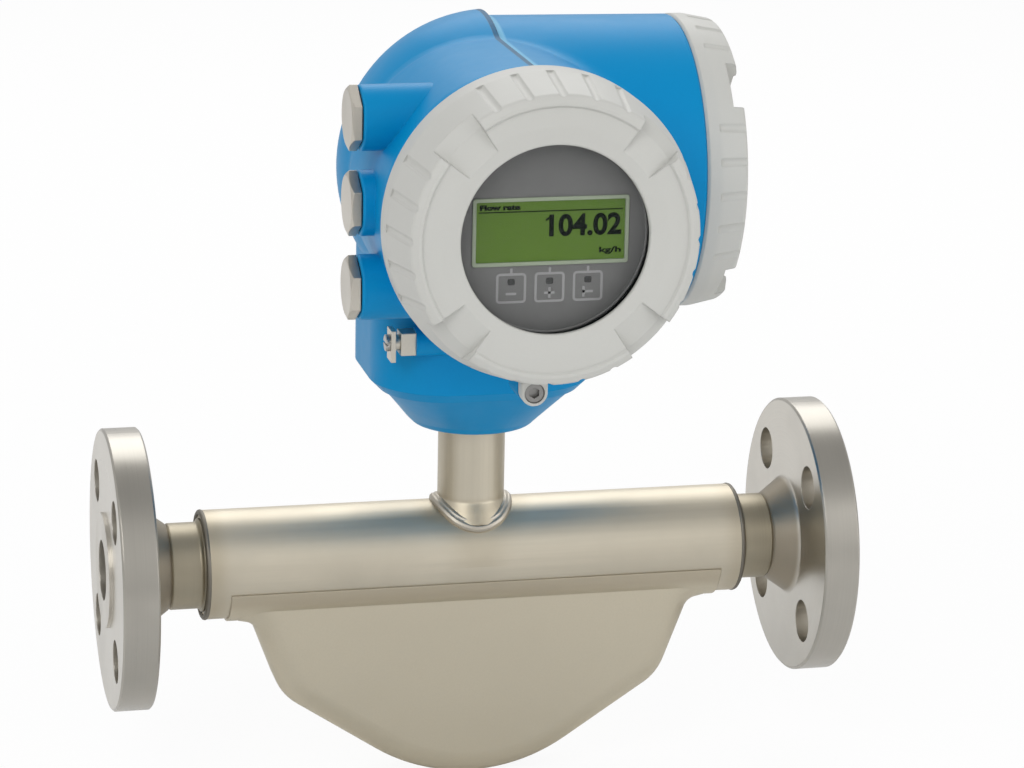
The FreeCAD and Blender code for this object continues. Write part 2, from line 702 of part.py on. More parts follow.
def cover_groove(centre, out, depth):
    """Cutter for one grip groove, laid along the slope of the crown."""
    start, front, edge_radius = crown_line(depth)
    side = side_of(out)
    lift = COVER_GROOVE_RADIUS - COVER_GROOVE_DEPTH
    low = centre + out * start + side * (COVER_RADIUS + lift)
    high = centre + out * front + side * (edge_radius + lift)
    along = (high - low).normalize()
    return Part.makeCylinder(COVER_GROOVE_RADIUS, (high - low).Length + 8, low, along)


def cover_with_grip(corners, centre, out, depth, turn):
    """Cover turned from its section, with four finger notches and grip grooves."""
    body = turned(corners, centre, out)
    notch = cover_notch(centre, out, depth)
    groove = cover_groove(centre, out, depth)
    lobe = 360 / COVER_LOBES
    cutters = []
    for quarter in range(COVER_LOBES):
        middle = turn + lobe * quarter
        cutters.append(turned_copy(notch, centre, out, middle + lobe / 2))
        for index in range(COVER_GROOVES_PER_LOBE):
            step = index - (COVER_GROOVES_PER_LOBE - 1) / 2
            cutters.append(turned_copy(groove, centre, out, middle + COVER_GROOVE_ANGLE * step))
    return single(body.cut(cutters))


def display_cover():
    """Front cover with the round window opening."""
    centre = Vector(0, FRONT_DRUM_END, AXIS_Z)
    depth = DISPLAY_COVER_DEPTH
    face = depth - COVER_RIM_STEP
    seat = depth - WINDOW_LIP
    ring_end = seat - GASKET_THICKNESS - WINDOW_THICKNESS
    corners = cover_outside(depth) + [
        (face, APERTURE_RADIUS + 8, 12),
        (face - 1.3, APERTURE_RADIUS, 0.8),
        (seat, APERTURE_RADIUS, 0),
        (seat, WINDOW_RADIUS + 0.2, 0),
        (ring_end, WINDOW_RADIUS + 0.2, 0),
        (ring_end, WINDOW_RADIUS + 3.2, 0),
        (ring_end - WINDOW_RING_THICKNESS - 0.5, WINDOW_RADIUS + 3.2, 0),
        (ring_end - WINDOW_RING_THICKNESS - 0.5, COVER_BORE_RADIUS - 3, 0)] + cover_inside()
    return cover_with_grip(corners, centre, ALONG_Y * -1, depth, DISPLAY_COVER_TURN)


def electronics_cover():
    """Closed side cover."""
    centre = Vector(REAR_DRUM_END, REAR_AXIS_Y, AXIS_Z)
    depth = ELECTRONICS_COVER_DEPTH
    corners = cover_outside(depth) + [
        (depth - COVER_RIM_STEP, 0, 0),
        (depth - 4.6, 0, 0),
        (depth - 4.6, COVER_BORE_RADIUS - 5, 0)] + cover_inside()
    return cover_with_grip(corners, centre, ALONG_X, depth, ELECTRONICS_COVER_TURN)


def cover_seal(centre, out):
    """Flat seal ring in the recess of a cover's rim."""
    return ring(centre, out, COVER_BORE_RADIUS + 0.5, SEAL_RECESS_RADIUS - 0.3, 0.3,
                SEAL_RECESS_DEPTH - 0.3)


def window_stack():
    """Glass, gasket and threaded ring behind the display cover's opening."""
    centre = Vector(0, FRONT_DRUM_END, AXIS_Z)
    out = ALONG_Y * -1
    seat = DISPLAY_COVER_DEPTH - WINDOW_LIP
    glass_front = seat - GASKET_THICKNESS
    glass_back = glass_front - WINDOW_THICKNESS
    glass = turned([
        (glass_back, 0, 0), (glass_back, WINDOW_RADIUS - 0.5, 0), (glass_back + 0.5, WINDOW_RADIUS, 0),
        (glass_front - 0.5, WINDOW_RADIUS, 0), (glass_front, WINDOW_RADIUS - 0.5, 0),
        (glass_front, 0, 0)], centre, out)
    gasket = ring(centre, out, APERTURE_RADIUS + 1, WINDOW_RADIUS, glass_front, seat)
    ring_back = glass_back - WINDOW_RING_THICKNESS
    clamp_ring = ring(centre, out, BEZEL_RADIUS + 2.6, WINDOW_RADIUS + 3.1, ring_back,
                      glass_back)
    for turn in (0, 90):
        slot = block((-60, -1.5, ring_back - 1), (60, 1.5, ring_back + 0.8))
        slot.rotate(Vector(0, 0, 0), ALONG_Z, turn)
        slot.rotate(Vector(0, 0, 0), ALONG_X, 90)
        slot.translate(centre)
        clamp_ring = clamp_ring.cut(slot)
    return glass, gasket, single(clamp_ring)


# ---- display module -------------------------------------------------------------------

def flat_plate(width, height, rounding, centre, thickness):
    """Upright rounded plate facing -Y, its front at the centre's y."""
    half_w, half_h = width / 2, height / 2
    corners = [(-half_w, -half_h, rounding), (half_w, -half_h, rounding),
               (half_w, half_h, rounding), (-half_w, half_h, rounding)]
    return extruded(corners, lambda p: centre + Vector(p.x, 0, p.y), ALONG_Y * thickness)


def display_module():
    """Bezel cup, bright frame, liquid crystal panel and board."""
    axis = Vector(0, 0, AXIS_Z)
    front = -BEZEL_FRONT_Y
    panel_centre = Vector(0, BEZEL_FRONT_Y, AXIS_Z + PANEL_RISE)
    cup = turned([
        (front, 0, 0), (front, BEZEL_RADIUS, 1.6), (front - BEZEL_DEPTH, BEZEL_RADIUS, 0),
        (front - BEZEL_DEPTH, BEZEL_RADIUS - 2, 0), (front - 3, BEZEL_RADIUS - 2, 0),
        (front - 3, 0, 0)], axis, ALONG_Y * -1)
    opening_width = PANEL_FRAME_WIDTH - 2 * PANEL_BORDER
    opening_height = PANEL_FRAME_HEIGHT - 2 * PANEL_BORDER
    outside = flat_plate(PANEL_FRAME_WIDTH, PANEL_FRAME_HEIGHT, 1.2,
                         panel_centre - ALONG_Y * 0.5, 2.0)
    inside = flat_plate(opening_width, opening_height, 0.6, panel_centre - ALONG_Y * 2, 8)
    frame = outside.cut(inside)
    recess = flat_plate(PANEL_FRAME_WIDTH + 0.04, PANEL_FRAME_HEIGHT + 0.04, 1.22,
                        panel_centre - ALONG_Y * 2, 3.52)
    bezel = cup.cut(recess).cut(inside)
    panel = flat_plate(opening_width - 0.06, opening_height - 0.06, 0.5,
                       panel_centre + ALONG_Y * 0.3, 2.4)
    board = rod(axis, ALONG_Y * -1, BEZEL_RADIUS - 2.3, front - 9, front - 7.4)
    board = board.fuse(rod(axis, ALONG_Y * -1, 9, front - 11.6, front - 8))
    board = board.cut(rod(axis, ALONG_Y * -1, 5.3, front - 20, front - 9.5))
    return single(bezel), single(frame), panel, single(board)


def display_holder():
    """Plastic carrier on three legs, with the pin that the display module turns on."""
    axis = Vector(0, 0, AXIS_Z)
    out = ALONG_Y * -1
    top = -BEZEL_FRONT_Y - BEZEL_DEPTH - 0.8
    body = ring(axis, out, 34, 44, top - 4, top)
    body = body.fuse(rod(axis, out, 5, top - 4, -BEZEL_FRONT_Y - 10))
    for index in range(3):
        arm = block((-4, 3, 0), (4, 40, 4))
        arm.rotate(Vector(0, 0, 0), ALONG_Z, 120 * index)
        arm.rotate(Vector(0, 0, 0), ALONG_X, 90)
        arm.translate(axis + out * (top - 4))
        angle = math.radians(90 + 120 * index)
        foot = axis + Vector(math.cos(angle), 0, math.sin(angle)) * 40
        body = body.fuse(arm).fuse(rod(foot, out, 3.4, -PARTITION_Y, top - 2))
    return single(body)


def terminals():
    """Terminal carrier on the partition, its terminal row and their screws."""
    base = -PARTITION_Y
    carrier = block((-30, -base - 8, 136), (30, -base, 168))
    row = block((-28, -base - 24, 140), (28, -base - 8, 160))
    screws = []
    for index in range(8):
        x = 7 * (index - 3.5)
        row = row.cut(rod(Vector(x, 0, 155), ALONG_Y, 2.3, -base - 25, -base - 20))
        row = row.cut(rod(Vector(x, -base - 17, 0), ALONG_Z, 2.2, 138, 148))
        screws.append(rod(Vector(x, 0, 155), ALONG_Y, 2.2, -base - 23, -base - 20))
    return carrier, row, Part.makeCompound(screws)


def electronics():
    """Potted main module in the rear chamber and the sensor board below it."""
    centre = Vector(0, REAR_AXIS_Y, AXIS_Z)
    module = turned([(-8, 0, 0), (-8, 37, 3), (58, 37, 4), (58, 0, 0)], centre, ALONG_X)
    connector = block((58, REAR_AXIS_Y - 20, AXIS_Z - 28), (66, REAR_AXIS_Y + 20, AXIS_Z - 18))
    handle = block((58, REAR_AXIS_Y - 4, AXIS_Z - 4), (72, REAR_AXIS_Y + 4, AXIS_Z + 26))
    handle = handle.cut(block((57, REAR_AXIS_Y - 5, AXIS_Z + 2), (67, REAR_AXIS_Y + 5, AXIS_Z + 20)))
    module = module.fuse([connector, handle])
    feet = []
    for angle in (45, 135, 225, 315):
        foot = rod(centre + ALONG_Z * 39.5, ALONG_X, 3.5, -14.5, 6)
        feet.append(turned_copy(foot, centre, ALONG_X, angle))
    module = single(module.fuse(feet))
    board = block((-26, COLUMN_CENTRE_Y - 22, 100), (26, COLUMN_CENTRE_Y + 22, 101.6))
    standoffs = []
    for x in (-20, 20):
        standoffs.append(rod(Vector(x, COLUMN_CENTRE_Y, 0), ALONG_Z, 2.5, 82, 100))
    return module, single(board.fuse(standoffs))


# ---- small hardware -------------------------------------------------------------------

def blanking_plug(step):
    """Hexagonal plug with a threaded shank and its seal ring."""
    centre = Vector(ENTRY_FACE_X, ENTRY_Y, ENTRY_MIDDLE_Z + step * ENTRY_PITCH)
    out = ALONG_X * -1
    head = hexagon_head(centre + out * PLUG_SEAL_HEIGHT, out, PLUG_ACROSS_FLATS,
                        PLUG_HEAD_HEIGHT, 0)
    shank = rod(centre, out, ENTRY_BORE_RADIUS - 0.1, -13, PLUG_SEAL_HEIGHT)
    shank = shank.cut(rod(centre, out, 6, -14, -2))
    seal = ring(centre, out, ENTRY_BORE_RADIUS - 0.05, ENTRY_BORE_RADIUS + 2.2, 0.02,
                PLUG_SEAL_HEIGHT - 0.02)
    return single(head.fuse(shank)), seal


def cover_clamp(cover):
    """Clamp with a rounded nose beside the cover's rim, and its socket screw."""
    centre, out = clamp_place(cover)
    toward = ALONG_Z if cover == "display" else Vector(0, -math.sqrt(0.5), math.sqrt(0.5))
    across = out.cross(toward)
    half = CLAMP_RADIUS
    shoulder = math.sqrt(CLAMP_NOSE_REACH ** 2 - half ** 2)

    def place(x, y):
        return centre + across * x + toward * y

    outline = Part.Wire([
        Part.LineSegment(place(-half, 0), place(-half, shoulder)).toShape(),
        Part.Arc(place(-half, shoulder), place(0, CLAMP_NOSE_REACH),
                 place(half, shoulder)).toShape(),
        Part.LineSegment(place(half, shoulder), place(half, 0)).toShape(),
        Part.Arc(place(half, 0), place(0, -half), place(-half, 0)).toShape()])
    body = Part.Face(outline).extrude(out * CLAMP_THICKNESS)
    front = []
    for edge in body.Edges:
        middle = edge.BoundBox.Center - centre
        along = edge.Vertexes[0].Point - centre
        if middle.dot(out) > CLAMP_THICKNESS - 0.1 and along.dot(out) > CLAMP_THICKNESS - 0.1:
            front.append(edge)
    body = body.makeFillet(0.9, front)
    body = body.cut(rod(centre, out, 2.65, -1, CLAMP_THICKNESS + 1))
    body = body.cut(rod(centre, out, 4.25, 2.4, CLAMP_THICKNESS + 1))
    screw = rod(centre, out, 2.5, -11, 3).fuse(rod(centre, out, 4.0, 2.5, 5.2))
    hexagon = hexagon_head(centre + out * 2.9, out, 4.0, 6, 0)
    return single(body), single(screw.cut(hexagon))


def ground_terminal():
    """Clamp block, bent plate and screw of the outer ground terminal."""
    centre = Vector(GROUND_FACE_X, GROUND_Y, GROUND_Z)
    out = ALONG_X * -1
    block_depth, gap, plate = 6.5, 2.2, 2.0
    foot = block((centre.x - block_depth, centre.y - 4.6, centre.z - 4.8),
                 (centre.x - 0.02, centre.y + 4.6, centre.z + 4.8))
    foot = foot.cut(rod(centre, out, 2.3, -1, 10))
    start = block_depth + gap
    clamp = turned([(block_depth + 0.02, 0, 0), (block_depth + 0.02, 3.4, 0), (start, 3.4, 0),
                    (start, 0, 0)], centre, out)
    blade = block((centre.x - start - plate, centre.y - 4.6, centre.z - 7.6),
                  (centre.x - start, centre.y + 4.6, centre.z + 6.0))
    clamp = clamp.fuse(blade).cut(rod(centre, out, 2.3, 0, 14))
    end = start + plate
    head = turned([(end + 0.02, 0, 0), (end + 0.02, 3.6, 0), (end + 1.9, 3.6, 0.5),
                   (end + 1.9, 0, 0)], centre, out)
    screw = head.fuse(rod(centre, out, 2.0, -8, end + 0.5))
    slot = block((centre.x - end - 3, centre.y - 5, centre.z - 0.5),
                 (centre.x - end - 1.1, centre.y + 5, centre.z + 0.5))
    return foot, single(clamp), single(screw.cut(slot))


# ---- the whole meter ------------------------------------------------------------------

def build_flow_path():
    """Flanges, manifolds, tubes, shell, braces and pickups."""
    for end, name in ((-1, "inlet"), (1, "outlet")):
        keep(name + "_flange", weld_neck_flange(end))
        keep(name + "_manifold", manifold(end))
        keep(name + "_outer_brace", brace_plate(end, 22.5))
        keep(name + "_inner_brace", brace_plate(end, 29.5))
        coil, magnet = leg_sensor(end * 66.0, -58.0)
        keep(name + "_pickup_coil", coil)
        keep(name + "_pickup_magnet", magnet)
    keep("carrier_tube", carrier_tube())
    keep("belly_shell", belly_shell())
    keep("measuring_tube_front", measuring_tube(-1))
    keep("measuring_tube_rear", measuring_tube(1))
    coil, magnet = leg_sensor(0.0, -TUBE_DEPTH)
    keep("drive_coil", coil)
    keep("drive_magnet", magnet)
    keep("tube_temperature_sensor", temperature_sensor())


def build_neck():
    """Neck, feedthrough, adapter and seal."""
    keep("neck_tube", neck_tube())
    keep("neck_feedthrough", neck_feedthrough())
    keep("neck_adapter", neck_adapter())
    keep("neck_seal", neck_seal())


def build_transmitter():
    """Housing, covers, display, electronics and small hardware."""
    keep("transmitter_housing", transmitter_housing())
    keep("housing_lock_screw", housing_lock_screw())
    keep("display_cover", display_cover())
    keep("electronics_cover", electronics_cover())
    keep("display_cover_seal", cover_seal(Vector(0, FRONT_DRUM_END, AXIS_Z), ALONG_Y * -1))
    keep("electronics_cover_seal", cover_seal(Vector(REAR_DRUM_END, REAR_AXIS_Y, AXIS_Z), ALONG_X))
    for name, shape in zip(("display_window", "window_gasket", "window_ring"), window_stack()):
        keep(name, shape)
    names = ("display_bezel", "display_frame", "display_panel", "display_board")
    for name, shape in zip(names, display_module()):
        keep(name, shape)
    keep("display_holder", display_holder())
    for name, shape in zip(("terminal_carrier", "terminal_block", "terminal_screws"), terminals()):
        keep(name, shape)
    for name, shape in zip(("electronics_module", "sensor_board"), electronics()):
        keep(name, shape)
    for step, name in ((1, "upper"), (0, "middle"), (-1, "lower")):
        plug, seal = blanking_plug(step)
        keep("blanking_plug_" + name, plug)
        keep("plug_seal_" + name, seal)
    for cover in ("display", "electronics"):
        clamp, screw = cover_clamp(cover)
        keep(cover + "_cover_clamp", clamp)
        keep(cover + "_clamp_screw", screw)
    for name, shape in zip(("ground_block", "ground_clamp", "ground_screw"), ground_terminal()):
        keep(name, shape)


def save_nodes():
    """Moves every piece to the inlet face's frame and writes its STEP file."""
    os.makedirs("parts", exist_ok=True)
    for name, shape in NODES.items():
        placed = shape.copy()
        placed.translate(ALONG_X * HALF_LENGTH)
        placed.exportStep("parts/%s.step" % name)


build_flow_path()
build_neck()
build_transmitter()
save_nodes()
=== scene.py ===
"""Coriolis flow meter with a transmitter head: finishes and small pieces over its frame."""

import math

import bpy
from mathutils import Matrix, Vector


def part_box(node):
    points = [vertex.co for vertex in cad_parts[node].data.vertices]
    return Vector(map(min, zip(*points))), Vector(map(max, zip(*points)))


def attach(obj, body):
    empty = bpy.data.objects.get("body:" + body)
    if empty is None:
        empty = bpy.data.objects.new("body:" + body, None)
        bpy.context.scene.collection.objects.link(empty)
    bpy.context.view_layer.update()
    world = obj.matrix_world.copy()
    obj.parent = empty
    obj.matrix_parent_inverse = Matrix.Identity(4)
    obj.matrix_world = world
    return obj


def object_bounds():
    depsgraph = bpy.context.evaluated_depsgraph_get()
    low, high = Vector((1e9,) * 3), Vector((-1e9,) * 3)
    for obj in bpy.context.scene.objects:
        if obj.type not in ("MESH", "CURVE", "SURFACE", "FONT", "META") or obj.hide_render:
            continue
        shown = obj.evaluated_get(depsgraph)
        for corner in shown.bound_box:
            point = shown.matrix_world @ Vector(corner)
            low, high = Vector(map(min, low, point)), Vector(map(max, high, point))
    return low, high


bl_info = {
    "name": "Coriolis Flow Meter",
    "version": (1, 0, 0),
    "blender": (4, 5, 0),
    "location": "View3D > Sidebar > Flow Meter",
    "description": "Finishes, welds, readout and stage of a flanged Coriolis flow meter",
    "category": "Object",
}

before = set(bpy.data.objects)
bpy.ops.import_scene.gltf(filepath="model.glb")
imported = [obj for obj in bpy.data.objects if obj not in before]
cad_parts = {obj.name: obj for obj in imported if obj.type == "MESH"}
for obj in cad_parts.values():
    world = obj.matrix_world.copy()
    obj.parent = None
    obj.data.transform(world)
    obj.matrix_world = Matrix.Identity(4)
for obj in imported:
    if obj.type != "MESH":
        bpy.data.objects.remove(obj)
CAD_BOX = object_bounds()

MM = 0.001
TURN = 2 * math.pi
QUARTER = math.pi / 2
WHITE = (1.0, 1.0, 1.0, 1.0)

TUBE_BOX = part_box("carrier_tube")
NECK_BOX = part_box("neck_tube")
PANEL_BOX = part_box("display_panel")
FRAME_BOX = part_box("display_frame")
BEZEL_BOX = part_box("display_bezel")
FRONT_COVER_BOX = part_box("display_cover")
SIDE_COVER_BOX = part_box("electronics_cover")
PIPE_MIDDLE = (TUBE_BOX[0] + TUBE_BOX[1]) / 2
DISPLAY_CENTRE = (BEZEL_BOX[0] + BEZEL_BOX[1]) / 2
HALF_REACH = (CAD_BOX[1][0] - CAD_BOX[0][0]) / 2
HALF_TUBE = TUBE_BOX[1].x - PIPE_MIDDLE.x
TUBE_RADIUS = TUBE_BOX[1].z - PIPE_MIDDLE.z
DRUM_Y = (SIDE_COVER_BOX[0].y + SIDE_COVER_BOX[1].y) / 2
DRUM_Z = (SIDE_COVER_BOX[0].z + SIDE_COVER_BOX[1].z) / 2

# Where one finish, painted shade or painted highlight gives way to another on a solid. A pair
# says where a change starts and ends; four numbers say where a band fades in and out.
RAISED_FACE_RADIUS = 25.6 * MM
RAISED_FACE_DEPTH = 1.0 * MM
# The flanges' rim takes painted shade from here outward.
FLANGE_RIM = (60.5 * MM, 61.2 * MM)
HUB_EDGE = (25.0 * MM, 27.0 * MM)
HUB_DEPTH = 17.0 * MM
SADDLE_EDGE_Z = -10.5 * MM
SADDLE_HEAT = (1.5 * MM, 7.0 * MM)
TUBE_END_HEAT = (HALF_TUBE - 11.0 * MM, HALF_TUBE - 2.0 * MM)
ABOUT_NECK_HEAT = (19.0 * MM, 30.0 * MM)
NECK_FOOT_HEAT = (NECK_BOX[0].z + 6.0 * MM, NECK_BOX[0].z + 12.0 * MM)
# Painted shade inside the front and side chambers, within these radii.
FRONT_CHAMBER_RADIUS = 52.9 * MM
FRONT_CHAMBER_Y = -55.5 * MM
SIDE_CHAMBER_RADIUS = 46.5 * MM
SIDE_CHAMBER_START = 30.0 * MM
COLLAR_GAP = 2.6 * MM
# Painted shade along the housing's step and a painted highlight along its lip, over the crown.
CROWN_RISE = (DISPLAY_CENTRE.z + 24.0 * MM, DISPLAY_CENTRE.z + 42.0 * MM)
STEP_SHADE_BAND = (-0.6 * MM, -0.1 * MM, 1.9 * MM, 2.3 * MM)
LIP_HIGHLIGHT_BAND = (2.2 * MM, 2.6 * MM, 4.6 * MM, 6.0 * MM)
LIP_HIGHLIGHT_FADE = (-2.0 * MM, 16.0 * MM)

# Pitches of the regular patterns.
SERRATION_PITCH = 0.8 * MM
THREAD_PITCH = 2.0 * MM
DOT_PITCH = 0.48 * MM
WIRE_PITCH = 0.45 * MM

# Closeness of the grain on bare steel, for each metre.
TURNED_GRAIN = 900.0
FACED_GRAIN = 1400.0
FACED_BANDS = 260.0
DRAWN_GRAIN = 520.0
TUBE_STREAKS = 12.0
NECK_STREAKS = 14.0
BLASTED_GRAIN = 1100.0

# Colours beside welds, on bare parts of a coated solid, and of painted highlight and painted
# shade on the housing.
HUB_TINT = (0.24, 0.20, 0.14)
SHELL_HEAT_TINT = (0.40, 0.33, 0.24)
TUBE_HEAT_TINT = (0.36, 0.29, 0.18)
LIP_HIGHLIGHT_TINT = (0.22, 0.58, 0.78)
BARE_TINT = (0.45, 0.45, 0.46)
CHAMBER_SHADE = (0.018, 0.019, 0.021)

# Weld beads. The passes round the neck have an inset and a lift each. Their loop is
# narrower at the left and the right than at the front and the back.
END_RIPPLES = 180
END_BEAD_INSET = 0.2 * MM
END_BEAD_DEPTH = 0.9 * MM
NECK_RIPPLES = 120
NECK_START_Z = 60 * MM
NECK_PASSES = ((0.0, 0.6 * MM), (1.5 * MM, 1.2 * MM))
FOOT_NARROWING = 0.114
FOOT_WIDENING = 1.4

# Readout, from the top and the sides of the display's frame.
RIGHT_MARGIN = 2.9 * MM
LEFT_MARGIN = 3.0 * MM
TEXT_WEIGHT = 0.034
HEADER_WEIGHT = 0.060
READING_DROP = 7.2 * MM
UNIT_DROP = 21.2 * MM
UNIT_WIDTH = 9.0 * MM
UNIT_HEIGHT = 3.1 * MM
HEADER_DROP = 2.7 * MM
HEADER_WIDTH = 16.6 * MM
HEADER_HEIGHT = 2.3 * MM
RULE_DROP = 5.8 * MM
RULE_EXTRA = 0.8 * MM
RULE_HEIGHT = 0.5 * MM
FLAG_DROP = 8.9 * MM
FLAG_GAP = 0.35 * MM
FLAG_WIDTH = 2.6 * MM
FLAG_HEIGHT = 0.9 * MM
FLAG_SLOPE = math.radians(32.0)

# Touch keys: places from a key's centre.
KEY_DROP = 3.0 * MM
KEY_CORNER = 1.6 * MM
STEM_RISE = 0.9 * MM
STEM_LENGTH = 2.0 * MM
SIGN_DROP = 2.3 * MM
SIGN_LENGTH = 4.4 * MM
SIGN_SHIFT = 1.7 * MM
EYE_RISE = 2.6 * MM
EYE_WIDTH = 3.0 * MM
EYE_HEIGHT = 2.6 * MM
EYE_CORNER = 0.7 * MM

# Rim of the bezel.
RIM_RADIUS = 40.0 * MM
RIM_SIDES = 128
RIM_HEIGHT_SHARE = 0.6
RIM_ROUNDING_SHARE = 0.25

# Stage: each lamp has a name, a place, a width in metres and a power in watts.
STAGE_MIDDLE = Vector((0.16, 0.0, 0.1))
FLOOR_WIDTH = 12
FLOOR_SHINE = 0.92
SOFT_LIGHT = 0.55
LAMPS = (
    ("back_lamp", (0.50, 1.50, 1.55), 1.5, 15.0),
    ("key_lamp", (-1.0, -1.5, 1.5), 1.4, 18.5),
    ("fill_lamp", (1.7, -1.3, 0.7), 1.4, 9.5),
)
ROOM_LEVELS = ((0.0, 0.30), (0.46, 0.45), (0.56, 0.80), (0.75, 0.74), (1.0, 0.50))
CAMERA_AZIMUTH = math.radians(-13.38)
CAMERA_ELEVATION = math.radians(15.626)
CAMERA_ROLL = math.radians(1.162)
CAMERA_AIM = Vector((0.18244, -0.00018, 0.07655))
CAMERA_LENS = 126.97
CAMERA_SENSOR = 36.0


def colour_property(name, description, default):
    """Colour that a user would change."""
    return bpy.props.FloatVectorProperty(name=name, description=description, default=default,
                                         subtype="COLOR", size=3, min=0.0, max=1.0)


def length_property(name, description, default):
    """Length in metres that a user would change."""
    return bpy.props.FloatProperty(name=name, description=description, default=default,
                                   unit="LENGTH", min=0.0, precision=5)


class MeterColours(bpy.types.PropertyGroup):
    """Colours of the meter's finishes."""

    housing: colour_property("Housing", "Powder coat of the housing", (0.0, 0.245, 0.53))
    cover: colour_property("Covers", "Textured coat of the two covers", (0.56, 0.56, 0.53))
    flange: colour_property("Flanges", "Turned steel of the flanges", (0.60, 0.57, 0.51))
    tube: colour_property("Tube", "Drawn steel of the tube and the neck", (0.58, 0.53, 0.43))
    shell: colour_property("Shell", "Pressed steel of the belly", (0.60, 0.545, 0.43))
    weld: colour_property("Welds", "Weld beads", (0.50, 0.46, 0.39))
    bezel: colour_property("Bezel", "Moulded face of the display", (0.178, 0.178, 0.175))
    glow: colour_property("Readout", "Lit liquid crystal", (0.078, 0.160, 0.004))
    ink: colour_property("Digits", "Dark segments of the readout", (0.002, 0.005, 0.002))
    key: colour_property("Keys", "Printed outlines of the touch keys", (0.36, 0.36, 0.36))
    floor: colour_property("Floor", "Studio floor", (0.92, 0.92, 0.92))


class MeterSizes(bpy.types.PropertyGroup):
    """Sizes of the small pieces that the frame leaves to this file."""

    bead: length_property("Weld bead", "Radius of a weld bead", 0.0011)
    neck_bead: length_property("Neck bead", "Radius of the weld bead round the neck", 0.0019)
    neck_foot: length_property("Neck foot", "Radius of the weld loop round the neck", 0.0184)
    ripple: length_property("Weld ripple", "Height of the ripples on a bead", 0.00012)
    print_height: length_property("Print", "Height of printed marks", 0.00006)
    digit_width: length_property("Digits' width", "Width of the large reading", 0.0298)
    digit_height: length_property("Digits' height", "Height of the large reading", 0.0092)
    key_size: length_property("Key", "Outside of a touch key's outline", 0.0124)
    key_pitch: length_property("Key pitch", "Distance between touch keys", 0.0158)
    rim_width: length_property("Bezel rim", "Width of the bezel's raised rim", 0.0009)
    key_line: length_property("Key line", "Width of a key's printed line", 0.0010)
    camera_distance: length_property("Camera", "Distance from camera to meter", 1.6)


def colours():
    """The colours now in force."""
    return bpy.context.scene.meter_colours


def sizes():
    """The sizes now in force."""
    return bpy.context.scene.meter_sizes


# ---------------------------------------------------------------- finishes


class Reading:
    """One output of a shader node, which can stand in a Python expression."""

    def __init__(self, graph, socket):
        self.graph = graph
        self.socket = socket

    def math(self, operation, first, second=0.0):
        """Math node on two values, of which one is this reading."""
        return self.graph.node("ShaderNodeMath", {"operation": operation},
                               {0: first, 1: second})

    def __add__(self, other):
        return self.math("ADD", self, other)

    def __sub__(self, other):
        return self.math("SUBTRACT", self, other)

    def __rsub__(self, other):
        return self.math("SUBTRACT", other, self)

    def __mul__(self, other):
        return self.math("MULTIPLY", self, other)

    def __pow__(self, other):
        return self.math("POWER", self, other)

    def __gt__(self, other):
        return self.math("GREATER_THAN", self, other)

    def __lt__(self, other):
        return self.math("LESS_THAN", self, other)

    def __abs__(self):
        return self.math("ABSOLUTE", self)

    def sine(self):
        """Sine of the reading, in radians."""
        return self.math("SINE", self)


